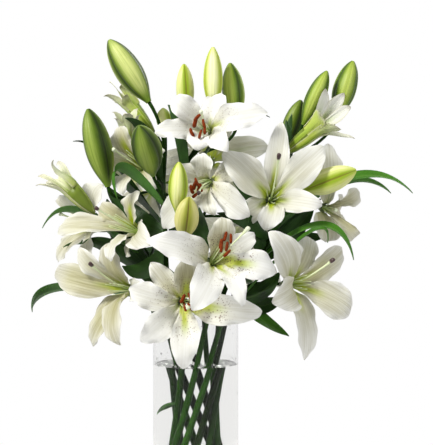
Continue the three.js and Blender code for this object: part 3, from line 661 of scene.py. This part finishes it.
def stamens(shape, parts, item, seed):
    # six filaments bend out from the style's foot, each to a drawn height and spread; an anther lies
    # across each tip, droops with the square of its length and swells in its middle
    way, foot = footOf(item)
    look = stamenLook
    bottom = item["look"]["body"][-1][0] + gap
    t = np.linspace(0, 1, 14)
    s = np.linspace(-1, 1, 17)
    for k in range(6):
        out = aroundWay(way, math.pi / 3 * (k + 0.5) + 0.2 * (draw(seed + k) - 0.5))
        over = np.cross(way, out)
        knee = foot + way * (bottom + look["knee"]) + out * 4.5
        rise = item["short"] * (look["rise"] + 9 * (draw(seed + 5 * k) - 0.6))
        top = (foot + way * rise + out * (look["near"] + look["spread"] * draw(seed + 7 * k))
               + over * 5 * (draw(seed + 9 * k) - 0.5) + np.array(item["sway"]))
        start = foot + way * (bottom + 1) + out * 2
        points, _ = bezier([start, knee, (knee + top) / 2 + out * 1.5, top], t)
        rod(shape, points, look["thick"] - 0.4 * t, 8, along=t, kind=0.3)
        if item["anthers"]:
            droop = unit(top - knee)
            tilt = np.array([draw(seed + 13 * k) - 0.5, draw(seed + 17 * k) - 0.5, 0.9])
            lie = unit(tilt + over * 0.7 * np.sign(over[2]))
            line = top + droop * 1.4 + np.outer(look["anther"] * s, lie)
            line = line - np.outer(look["droop"] * s * s, droop)
            fat = look["fat"] * np.sqrt(np.maximum(1 - s ** 4, 0)) * (1 - 0.15 * s) + 0.2
            rod(parts, line, fat, 14, ripple=lambda turn: 1 + 0.16 * np.cos(2 * turn))


def petalPaint(name, white, cream, shadeBeige, lime):
    # white tepals with painted shade in cream and beige, stronger towards the rib and the throat and as
    # strong as each tepal's mark says, with fine veins that carry some of that shade, lime throats and
    # stripes, brown dots and a green rib behind
    p = newPaint(name)
    along, side, front, pick, over, far, warm, spots, limes = p.marks(
        "along", "side", "front", "pick", "over", "far", "warm", "spots", "lime")
    edge = abs(side)
    cloud = p.noise(p.spot(), 24.0)
    veins = p.noise(p.vector(over * 0.8 + far * 0.02, far * 0.02, pick * 9), 1.0)
    broad = p.noise(p.vector(over * 0.22, far * 0.012, pick * 17), 1.0, 2.0)
    shadeStrength = warm * 0.6 + 0.1
    # painted shade in cream: as strong as each tepal's mark, most towards the rib, in cloudy patches and away
    # from the tip, and a little towards the throat on every tepal
    shadeSpread = (p.band(edge, 1.2, 0.25) * 0.7 + p.band(cloud, 0.3, 0.75) * 0.6) * p.band(along, 1.2, 0.45)
    p.colour = p.blend(warm * 1.3 * shadeSpread + p.band(along, 0.7, 0.15) * 0.25, white, cream)
    # painted shade in beige: in cloudy patches on the most shaded tepals, along the veins (real lines that
    # also carry shade), in broad patches and deep in the throat
    p.lay(p.band(warm, 0.5, 1.0) * p.band(cloud, 0.75, 0.3) * 0.5, shadeBeige)
    p.lay(p.band(veins, 0.4, 0.62) * (warm * 0.55 + 0.06) * p.band(edge, 1.15, 0.3), shadeBeige)
    p.lay(p.band(broad, 0.45, 0.7) * shadeStrength * p.band(along, 1.0, 0.5), shadeBeige)
    p.lay(p.band(along, 0.5, 0.08) * shadeStrength * p.band(edge, 1.3, 0.1), shadeBeige)
    stripe = p.band(edge + along * 0.35 - limes * 0.16, 0.5, 0.12)
    stripe = stripe * p.band(along - limes * 0.45, 0.3, -0.02)
    throat = p.band(along + edge * 0.12 - (cloud - 0.5) * 0.2 - limes * 0.22, 0.28, 0.12)
    p.lay(stripe.most(throat) * p.band(limes, -0.3, 0.6), lime)
    p.lay(p.band(edge, 0.09, 0.02) * p.band(along, 0.42, 0.25) * 0.6, (0.1, 0.2, 0.01))
    p.lay(p.band(along, 0.16, 0.05) * 0.75, (0.07, 0.14, 0.01))
    blush = p.band(along, 0.5, 0.12) * p.band(edge, 1.2, 0.3) * spots * 0.5
    p.lay(blush, (0.86, 0.7, 0.44))
    cells = p.add("ShaderNodeTexVoronoi", {"Vector": p.vector(over, far, pick * 37), "Scale": 0.37})
    dots = p.band(cells + p.noise(p.spot(), 60.0) * 0.2, 0.42, 0.34)
    area = p.band(along, 0.72, 0.5) * p.band(along, 0.12, 0.2)
    area = area * p.band(edge, 0.95, 0.6) * p.band(edge, 0.03, 0.12)
    p.lay(dots * area * spots * front, (0.13, 0.05, 0.025))
    behind = (1 - front) * p.band(edge, 0.3, 0.04) * p.band(along, 1.1, 0.2)
    p.lay(behind * 0.5, (0.35, 0.45, 0.14))
    ridges = (over * 1.7 + veins * 6).wave() * (warm * 0.3 + 0.08) + veins * 0.6 + cloud * 0.5
    normal = p.bump(ridges, 0.35, 0.001)
    return p.thin(0.2, p.skin(cloud, 0.38, 0.3, normal), (0.93, 0.93, 0.82), normal)


def openingPaint(name):
    # tepals of a bud that opens: green at the foot, lime along the rib, cream sides and greyish white tips,
    # kept cream as painted shade on the tepals that the mark says are shaded
    p = newPaint(name)
    along, side, pick, over, far, warm, limes = p.marks(
        "along", "side", "pick", "over", "far", "warm", "lime")
    edge = abs(side)
    cloud = p.noise(p.spot(), 40.0)
    veins = p.noise(p.vector(over * 1.1, far * 0.04, pick * 9), 1.0)
    patch = cloud - 0.5
    p.colour = p.blend(p.band(along + patch * 0.3, 0.2, 0.8), (0.5, 0.54, 0.16), (0.76, 0.75, 0.6))
    p.lay(limes * p.band(along + patch * 0.5, 1.05, 0.75) * 0.9, (0.47, 0.58, 0.07))
    # painted light and shade per tepal: whiter tips only where the mark says a tepal is not shaded
    p.lay((1 - warm) * p.band(along, 0.55, 0.75) * 0.8, (0.84, 0.84, 0.8))
    p.lay(p.band(edge, 0.6, 0.1) * p.band(along, 0.9, 0.35) * 0.95, (0.24, 0.38, 0.01))
    p.lay(p.band(along, 0.4, 0.0) * 0.85, (0.13, 0.19, 0.015))
    p.lay(p.band(veins, 0.5, 0.68) * 0.2, (0.36, 0.4, 0.1))
    p.lay(p.band(edge, 0.75, 1.0) * 0.6, (0.74, 0.7, 0.52))
    p.lay(p.band(along, 0.9, 1.0) * 0.6, (0.4, 0.36, 0.27))
    normal = p.bump((over * 2.2 + veins * 5).wave() * 0.2 + veins * 0.6, 0.35, 0.001)
    return p.thin(0.12, p.skin(cloud, 0.35, 0.35, normal), (0.8, 0.85, 0.5), normal)


def antherPaint(name, light, dark):  # powdery rust, mottled by a fine noise
    p = newPaint(name)
    grain = p.noise(p.spot(), 900.0, 5.0, 0.7)
    p.colour = p.blend(p.band(grain, 0.35, 0.65), dark, light)
    normal = p.bump(grain, 0.9, 0.0006)
    return p.finish(p.gloss(base_color=p.colour, roughness=0.9, normal=normal, specular_ior_level=0.1))


def pistilPaint(name, tip):  # pale green style and filaments, with the style's end in its own colour
    p = newPaint(name)
    along, kind = p.marks("along", "kind")
    grain = p.noise(p.spot(), 300.0)
    p.colour = p.blend(p.band(along, 0.0, 0.6), (0.45, 0.6, 0.15), (0.72, 0.8, 0.5))
    p.lay(p.band(along, 0.93, 0.96) * p.band(kind, 0.2, 0.1), tip)
    return p.finish(p.skin(grain, 0.35, 0.5, p.bump(grain, 0.3, 0.0003)))


# white, then cream and beige as painted shade, then lime
petals = petalPaint("petal", (0.9, 0.9, 0.895), (0.59, 0.57, 0.37), (0.35, 0.32, 0.15), (0.46, 0.56, 0.002))
openingPetals = openingPaint("openingPetal")
anther = antherPaint("antherRust", (0.29, 0.05, 0.01), (0.1, 0.016, 0.005))
pistil = pistilPaint("pistilPale", (0.7, 0.75, 0.55))
pistilDark = pistilPaint("pistilDarkTip", (0.06, 0.03, 0.03))

# Closed buds: the stem's number, base and tip as places, width, turn in degrees and colours, of which dark
# is painted shade. A turn of 0 shows the viewer the middle of a lobe, 180 a seam.
buds = {
    "bud_1": [2, [149, 102, 10], [109, 40, 10], 41, -25, "pale"],
    "bud_2": [2, [108, 187, -30], [88, 109, -30], 40, 70, "dark"],
    "bud_3": [3, [153, 175, -50], [139, 126, -110], 41, 40, "dark"],
    "bud_4": [4, [186, 116, 55], [184, 64, 50], 27, 150, "yellow"],
    "bud_5": [4, [213, 112, 30], [213, 47, 20], 29, 10, "cream"],
    "bud_6": [4, [236, 122, 55], [230, 63, 50], 34, 70, "green"],
    "bud_7": [6, [303, 125, 20], [327, 71, 20], 29, 30, "green"],
    "bud_8": [6, [336, 118, 45], [353, 61, 40], 35, 0, "green"],
    "bud_9": [6, [284, 150, 60], [301, 100, 50], 32, 90, "dark"],
    "bud_10": [7, [301, 191, -8], [356, 170, -28], 37, 180, "yellow"],
    "bud_11": [5, [177, 213, -95], [179, 162, -104], 27, 20, "yellow"],
    "bud_12": [5, [184, 239, -102], [189, 197, -122], 33, 160, "olive"],
    "bud_13": [10, [168, 205, 170], [150, 150, 195], 34, 40, "green"],
    "bud_14": [10, [262, 205, 130], [285, 160, 165], 34, 40, "green"],
    "bud_15": [2, [165, 132, 60], [163, 108, 60], 24, 40, "yellow"],
}
budLook = {"rows": 48, "columns": 96, "seam": 0.05, "ridge": 0.035, "bend": 0.02}
budProfile = [[0, 0.2], [0.04, 0.27], [0.1, 0.42], [0.18, 0.63], [0.28, 0.83], [0.4, 0.97], [0.5, 1.0],
              [0.62, 0.965], [0.74, 0.85], [0.84, 0.68], [0.92, 0.46], [0.97, 0.27], [1, 0.12]]
# The colours of a bud: deep sides, green, the pale panel of a lobe, the seam, and how wide the panel is
budColours = {
    "pale": [(0.05, 0.09, 0.006), (0.19, 0.29, 0.025), (0.58, 0.63, 0.22), (0.02, 0.035, 0.005), 0.42],
    "green": [(0.06, 0.12, 0.006), (0.21, 0.32, 0.02), (0.45, 0.54, 0.11), (0.03, 0.05, 0.005), 0.36],
    # dark is the green skin at about half its brightness: painted shade for buds that sit in shade
    "dark": [(0.025, 0.05, 0.004), (0.1, 0.165, 0.012), (0.26, 0.34, 0.06), (0.015, 0.025, 0.004), 0.28],
    "yellow": [(0.25, 0.37, 0.015), (0.47, 0.56, 0.06), (0.78, 0.79, 0.38), (0.2, 0.15, 0.02), 0.4],
    "cream": [(0.42, 0.54, 0.04), (0.62, 0.68, 0.16), (0.88, 0.88, 0.56), (0.36, 0.32, 0.06), 0.42],
    "olive": [(0.24, 0.26, 0.03), (0.42, 0.43, 0.08), (0.64, 0.6, 0.26), (0.1, 0.06, 0.01), 0.38],
}


def budShape(base, tip, width, lobeTurn, seed):
    # a spindle on a slightly bowed line, with the smoothed profile's radii times 1 - seam at the three
    # joins + ridge at the lobes' middles, and a fine groove along each middle
    shape = Shape()
    length = np.linalg.norm(tip - base)
    way = unit(tip - base)
    u = 0.5 - 0.5 * np.cos(np.linspace(0, math.pi, budLook["rows"]))
    radii = (width / 2) * np.interp(u, *np.transpose(budProfile)) * 0.97
    for _ in range(2):
        radii[1:-1] = (radii[:-2] + 2 * radii[1:-1] + radii[2:]) / 4
    over = squareTo(way)
    bend = budLook["bend"] * length * (draw(seed) - 0.5) * 2
    path = base + way * (length * u)[:, None] + over * (bend * np.sin(math.pi * u))[:, None]
    facing = math.atan2(-np.cross(way, over)[1], -over[1])
    shift = math.pi - 3 * facing + math.radians(lobeTurn)
    lobeOf = lambda turn: (turn * 3 + shift) % fullTurn / fullTurn  # 0 and 1 at a seam

    def ripple(turn):
        lobe = lobeOf(turn)
        seam = budLook["seam"] * bump(np.minimum(lobe, 1 - lobe), 0, 0.07)
        ridge = budLook["ridge"] * np.cos((lobe - 0.5) * fullTurn)
        groove = 0.018 * bump(lobe, 0.5, 0.035) - 0.02 * bump(np.abs(lobe - 0.5), 0.09, 0.04)
        return 1 - seam + ridge - groove

    turn = circle(budLook["columns"])
    around = lambda value: np.broadcast_to(value[None], (len(u), len(turn)))
    rod(shape, path, radii, budLook["columns"], ripple=ripple, along=u,
        middle=around(np.abs(lobeOf(turn) - 0.5)), ringX=around(np.cos(turn)), ringY=around(np.sin(turn)))
    return shape


def budPaint(name, deep, mid, pale, seamColour, spread):
    # a pale panel along the middle of each lobe, as wide as spread says, in a green skin with darker seams
    # and fine lengthwise streaks
    p = newPaint(name)
    along, middle, ringX, ringY = p.marks("along", "middle", "ringX", "ringY")
    cloud = p.noise(p.spot(), 45.0, 4.0)
    lines = p.noise(p.vector(ringX * 9, ringY * 9, along * 2.5), 1.0, 4.0, 0.6)
    p.colour = p.blend(p.band(middle + (cloud - 0.5) * 0.12, 0.2, 0.44), mid, deep)
    panel = p.band(middle + (lines - 0.5) * 0.16, spread, 0.06) * p.band(along, 0.02, 0.25)
    p.lay(panel * p.band(along, 1.08, 0.8) * 0.9, pale)
    p.lay(p.band(lines, 0.48, 0.62) * 0.3, mid)
    p.lay(p.band(middle, 0.03, 0.0) * 0.35, mid)
    p.lay(p.band(middle, 0.44, 0.5) * 0.85, seamColour)
    p.lay(p.band(along, 0.16, 0.0) * 0.7, (0.14, 0.24, 0.02))
    normal = p.bump(lines * 0.6 + cloud * 0.2, 0.25, 0.0006)
    return p.finish(p.skin(cloud, 0.34, 0.25, normal, subsurface_weight=0.06,
                           subsurface_radius=(0.006, 0.008, 0.002)))


budPaints = {tone: budPaint("bud" + tone.title(), *row) for tone, row in budColours.items()}

# Stems by number: the angle of each at the vase's rim and its head as a place
stemLook = {"foot": 4.2, "top": 3.2, "spread": 46, "twist": 125, "handle": 0.35, "stalk": 2.2,
            "wave": 0.03, "stalkFresh": 0.6}
stems = {
    1: [185, [150, 262, 45]],
    2: [149, [163, 195, 45]],
    3: [221, [165, 205, -40]],
    4: [77, [185, 170, 25]],
    5: [293, [195, 250, -20]],
    6: [41, [280, 180, 30]],
    7: [5, [270, 225, 15]],
    8: [257, [178, 296, -35]],
    9: [329, [245, 290, 0]],
    10: [113, [190, 225, 105]],
}

# Leaves: the stem's number, where on it (0 to 1 in the vase, 1 to 2 above), a place on the way, the tip,
# width, roll in degrees, and how bright the green is where it isn't the plain one, which is partly a fresher
# green and partly painted light on leaves that stand out in the light
leafLook = {"thick": 1.0, "rows": 26, "columns": 9, "fold": 0.3, "wave": 0.05, "rib": 0.5, "fresh": 0.12}
leaves = [
    [1, 1.8, [84, 214, 0], [42, 228, -12], 20, 35, 0.9],
    [1, 1.6, [102, 248, 42], [63, 247, 29], 20, 30, 0.3],
    [8, 1.4, [66, 288, 95], [32, 312, 20], 22, 40, 0.35],
    [7, 1.95, [352, 178, 8], [413, 193, 0], 22, 35, 0.8],
    [7, 1.9, [340, 184, 70], [391, 193, 40], 20, 35, 0.55],
    [7, 1.5, [318, 226, -40], [354, 260, -50], 20, 30, 0.75],
    [9, 1.7, [308, 234, -50], [328, 243, -58], 14, 30, 0.5],
    [9, 1.6, [262, 320, -8], [289, 336, -20], 24, 40, 0.55],
    [2, 1.97, [150, 142, 18], [125, 118, -16], 20, 45],
    [4, 1.9, [178, 130, 2], [168, 105, 6], 20, 60],
    [3, 1.98, [122, 168, -62], [117, 199, -66], 17, 50, 0.6],
    [5, 1.5, [235, 209, -60], [249, 223, -72], 18, 40, 0.4],
    [4, 1.77, [225, 126, 18], [270, 117, 5], 12, 30],
    [2, 1.7, [112, 162, 38], [73, 141, 0], 12, 30],
    [6, 1.95, [284, 146, 14], [292, 114, 28], 18, 60],
    [8, 1.55, [160, 278, 5], [150, 252, 5], 30, 80],
    [5, 1.75, [200, 236, -60], [196, 202, -15], 26, 80],
    [7, 1.6, [290, 235, 20], [314, 206, 30], 30, 70],
    [3, 1.8, [128, 190, 40], [108, 172, 25], 24, 50],
    [9, 1.7, [262, 292, -10], [280, 272, -5], 28, 60],
    [7, 1.75, [260, 242, 0], [253, 222, 0], 22, 80],
    [10, 1.7, [150, 255, 120], [118, 262, 140], 26, 40],
    [10, 1.6, [228, 272, 110], [262, 292, 135], 26, 40],
    [2, 1.8, [140, 172, 85], [112, 162, 110], 24, 40],
    [3, 1.6, [146, 270, -8], [122, 266, -20], 28, 70, 0.3],
    [2, 1.6, [158, 238, 24], [150, 208, 26], 26, 80],
    [8, 0.56, [170, 407, -12], [161, 414, -14], 9, 60],  # under water, straighter than its solid
    [1, 1.55, [120, 236, 30], [107, 199, 35], 34, 80],  # from here on leaves without a solid
    [6, 1.8, [262, 205, 40], [231, 178, 45], 30, 80],
    [7, 1.85, [250, 223, -38], [217, 213, -40], 22, 80],
    [7, 1.9, [292, 215, 60], [321, 199, 60], 28, 80],
    [7, 1.8, [290, 240, 30], [328, 236, 20], 26, 80],
    [8, 1.6, [168, 282, 10], [147, 261, 10], 34, 85],
    [1, 1.7, [130, 252, 30], [105, 240, 30], 26, 80],
    [8, 1.3, [166, 318, 0], [151, 303, 0], 26, 80],
    [10, 1.8, [178, 240, 40], [171, 200, 50], 26, 85],
    [6, 1.95, [286, 150, 12], [286, 120, 22], 20, 80],
    [3, 1.75, [128, 212, -5], [107, 186, 0], 30, 80],
    [1, 1.65, [112, 249, 10], [82, 244, 12], 26, 60],
    [9, 1.55, [260, 306, 0], [284, 297, 8], 26, 75],
]


def stemPath(number):
    # a straight line from the foot to the rim, two points of the vase's round that are a twist apart, and
    # the corners of a curve from there to the head
    angle, head = stems[number]
    at = lambda degrees, height: np.array([stemLook["spread"] * math.cos(math.radians(degrees)),
                                           stemLook["spread"] * math.sin(math.radians(degrees)), height])
    foot = at(angle - stemLook["twist"], vase["floor"] + gap)
    rim = at(angle, vase["height"])
    top = seen(head)
    handle = stemLook["handle"] * np.linalg.norm(top - rim)
    return foot, [rim, rim + unit(rim - foot) * handle, top - np.array([0, 0, handle]), top]


def stemShape(number):  # a rod along the stem's path, its radius from foot to top with a slight wave
    shape = Shape()
    foot, corners = stemPath(number)
    low = foot + (corners[0] - foot) * np.linspace(0, 0.97, 30)[:, None]
    high, ways = bezier(corners, np.linspace(0.02, 1, 30))
    points = np.concatenate([low, high])
    share = np.linspace(0, 1, len(points))
    angle = stems[number][0]
    radii = stemLook["foot"] + (stemLook["top"] - stemLook["foot"]) * share
    radii = radii * (1 + stemLook["wave"] * np.sin(share * 61 + 3 * draw(angle)))
    radii[-1] *= 0.6
    rod(shape, points, radii, 16, along=share, fresh=draw(angle * 0.37))
    stalks(shape, number, corners[-1], ways[-1])
    return shape


def stalks(shape, number, top, topWay):
    # a curve from a little below the stem's top to the foot of each flower and the base of each bud,
    # thicker at that end by the sixth power of the share
    ends = [footOf(item) for item in flowers.values() if item["stem"] == number]
    for stem, base, tip, *_ in buds.values():
        if stem == number:
            ends.append((unit(seen(tip) - seen(base)), seen(base)))
    t = np.linspace(0, 1, 18)
    for k, (endWay, end) in enumerate(ends):
        sunk = stemLook["top"] + k
        start = top - topWay * sunk
        length = np.linalg.norm(end - start)
        points, _ = bezier([start, start + topWay * (sunk + 0.3 * length), end - endWay * 0.4 * length,
                            end - endWay * gap], t)
        rod(shape, points, stemLook["stalk"] * (1 + 0.25 * t ** 6), 10, along=t,
            fresh=stemLook["stalkFresh"])


def leafBlade(shape, leaf, seed):
    # a blade on a curve through the given place, its halves folded up from a sunken rib; its half width
    # swells and runs to a point
    stem, share, through, tip, width, roll, *fresh = leaf
    foot, corners = stemPath(stem)
    if share <= 1:
        root = foot + (corners[0] - foot) * share
    else:
        root = bezier(corners, [share - 1])[0][0]
    through, tip = seen(through), seen(tip)
    chord = unit(tip - root)
    u = np.linspace(0, 1, leafLook["rows"])
    points, ways = bezier([root, 2 * through - 0.5 * root - 0.5 * tip, tip], u)
    u = u[:, None]
    side = sidesOf(leafLook["columns"])
    wide = np.maximum((width / 2) * swell(u, 0.7, 0.9), 0.3)
    wave = leafLook["wave"] * wide * np.sin(9 * u + 6 * draw(seed)) * side
    high = leafLook["fold"] * wide * np.abs(side) ** 1.2 + wave
    high = high - leafLook["rib"] * bump(side * wide, 0, 0.9)
    across = turned(squareTo(chord), chord, roll)
    blade(shape, points, ways, across, side, np.broadcast_to(wide, high.shape), high, leafLook["thick"],
          along=u, fresh=fresh[0] if fresh else leafLook["fresh"])


def leafPaint(name, dark, bright):
    # dark green with parallel veins and a paler rib, brighter where the mark says so: partly a fresher green,
    # partly painted light on leaves that stand out in the light
    p = newPaint(name)
    along, side, over, fresh, front = p.marks("along", "side", "over", "fresh", "front")
    cloud = p.noise(p.spot(), 35.0, 4.0)
    veins = p.noise(p.vector(over * 1.6, along * 2, 0.0), 1.0, 2.0)
    faint = fresh * 0.4 + 0.05
    # partly painted light: a brighter green where the mark lifts a leaf that stands out in the light
    p.colour = p.blend(fresh * 0.8 + (cloud - 0.5) * 0.5, dark, bright)
    p.lay(p.band(veins, 0.45, 0.6) * (fresh * 0.3 + 0.05), bright)
    p.lay(p.band(abs(side), 0.14, 0.02) * faint * front, (0.2, 0.35, 0.08))
    p.lay((1 - front) * faint, (0.12, 0.22, 0.09))
    normal = p.bump((over * 3.5).wave() * 0.3 + veins, 0.4, 0.0008)
    return p.thin(fresh * 0.14 + 0.005, p.skin(cloud, 0.32, 0.3, normal), (0.2, 0.4, 0.05), normal)


def stemPaint(name, dark, bright):
    # green, as fresh as the mark says, with faint lengthwise lines, paler above
    p = newPaint(name)
    along, fresh, turn = p.marks("along", "fresh", "turn")
    cloud = p.noise(p.spot(), 60.0, 4.0)
    p.colour = p.blend(fresh + (cloud - 0.5) * 0.5 + p.band(along, 0.6, 1.0) * 0.15, dark, bright)
    normal = p.bump((turn * 125.6).wave() * 0.3 + cloud, 0.35, 0.0006)
    return p.finish(p.skin(cloud, 0.3, 0.06, normal))


stemGreen = stemPaint("stemGreen", (0.003, 0.006, 0.001), (0.012, 0.048, 0.002))
leafGreen = leafPaint("leafGreen", (0.004, 0.017, 0.003), (0.085, 0.3, 0.012))
for number in stems:
    name = f"stem_{number}"
    makePiece(stemShape(number), name + "_stalks", stemGreen, name)
    shape = Shape()
    for k, leaf in enumerate(leaves):
        if leaf[0] == number:
            leafBlade(shape, leaf, 5 * k + 2)
    if shape.count:
        makePiece(shape, name + "_leaves", leafGreen, name)
print("stems and leaves built")

for k, name in enumerate(blooms):
    item = flowers[name]
    makePiece(flowerShape(item, 40 * k + 5), name + "_tepals", petals, name)
    shape, parts = styleShape(item), Shape()
    stamens(shape, parts, item, 40 * k + 9)
    node = name.replace("bloom", "stamens")
    makePiece(shape, node + "_filaments", pistilDark if item["darkTip"] else pistil, node)
    if parts.count:
        makePiece(parts, node + "_anthers", anther, node)
print("open flowers built")

for k, (name, (_, base, tip, width, turn, tone)) in enumerate(buds.items()):
    shape = budShape(seen(base), seen(tip), width, turn, 17 * k + 3)
    makePiece(shape, name + "_skin", budPaints[tone], name)
for k, name in enumerate(opening):
    makePiece(flowerShape(flowers[name], 60 * k + 11), name + "_tepals", openingPetals, name)
print("buds built")

# Floor, light and camera: the backdrop's brightness as the camera sees it and through glass, the sky's
# light on the flowers, and the floor's radius and the height that the lamps look at in metres
studio = {"backdrop": 1.0, "behindGlass": 0.86, "dim": 0.03, "sky": 0.47, "floor": 0.5, "aim": 0.42}
lamps = {  # the place and the size in metres, the watts and the colour
    "keyLight": [(-1.3, -1.25, 1.8), 0.6, 58.0, (1, 0.985, 0.94)],
    "fillLight": [(1.6, -1.2, 0.9), 1.2, 12.0, (1, 1, 1)],
    "backLight": [(0.9, 1.5, 1.5), 1.0, 9.0, (1, 1, 1)],
}


def floorPaint():  # pale grey with a faint cloud
    p = newPaint("floorPale")
    p.colour = p.blend(p.noise(p.spot(), 40.0) * 0.3, (0.86, 0.86, 0.86), (0.82, 0.82, 0.82))
    return p.finish(p.gloss(base_color=p.colour, roughness=0.6))


def skyPaint():
    # white, bright for the camera and behind glass, dimmer as a light, and darker in front than behind
    # for reflections that start outside the glass
    p = Paint(bpy.data.worlds.new("studio"))
    ray = lambda output: p.add("ShaderNodeLightPath", output=output)
    way = p.add("ShaderNodeTexCoord", output="Generated")
    back = p.add("ShaderNodeSeparateXYZ", {0: way}, output="Y")
    mirrored = p.add("ShaderNodeMapRange", {"Value": back, "From Min": -0.6, "From Max": 0.5,
                                            "To Min": studio["dim"], "To Max": studio["behindGlass"]})
    outside = ray("Is Glossy Ray") * ray("Transmission Depth").below(0.5)
    strength = p.between(outside, studio["sky"], mirrored)
    strength = p.between(ray("Is Transmission Ray"), strength, studio["behindGlass"])
    strength = p.between(ray("Is Camera Ray"), strength, studio["backdrop"])
    return p.finish(p.add("ShaderNodeBackground", {"Color": (1, 1, 1), "Strength": strength}))


def lamp(name, spot, size, power, colour):  # a square lamp that looks at the flowers
    data = bpy.data.lights.new(name, "AREA")
    data.size, data.energy, data.color = size, power, colour
    made = bpy.data.objects.new(name, data)
    made.location = spot
    made.rotation_mode = "QUATERNION"
    way = unit(np.array([0, 0, studio["aim"]]) - spot)
    made.rotation_quaternion = Vector(way).to_track_quat("-Z", "Y")
    bpy.context.scene.collection.objects.link(made)


shape = Shape()
reach = studio["floor"] * 1000
turnedBody(shape, [(0.01, -6), (reach, -6), (reach, -0.05), (0.01, -0.05)], 96)
floor = shape.build("floor", floorPaint(), smooth=False)
bpy.context.scene.world = skyPaint()
for name, row in lamps.items():
    lamp(name, *row)

cameraData = bpy.data.cameras.new("camera")
cameraData.sensor_width = view["sensor"]
cameraData.lens = view["focal"] * view["sensor"] / view["height"]
camera = bpy.data.objects.new("camera", cameraData)
camera.location = (view["side"] * 0.001, -view["back"] * 0.001, view["up"] * 0.001)
camera.rotation_euler = (math.pi / 2, 0, 0)
bpy.context.scene.collection.objects.link(camera)
bpy.context.scene.camera = camera
bpy.context.scene.view_settings.view_transform = "Standard"
bpy.context.scene.cycles.max_bounces = 24  # the light crosses many walls of glass and water
bpy.context.scene.cycles.transmission_bounces = 24
print("light and camera set")
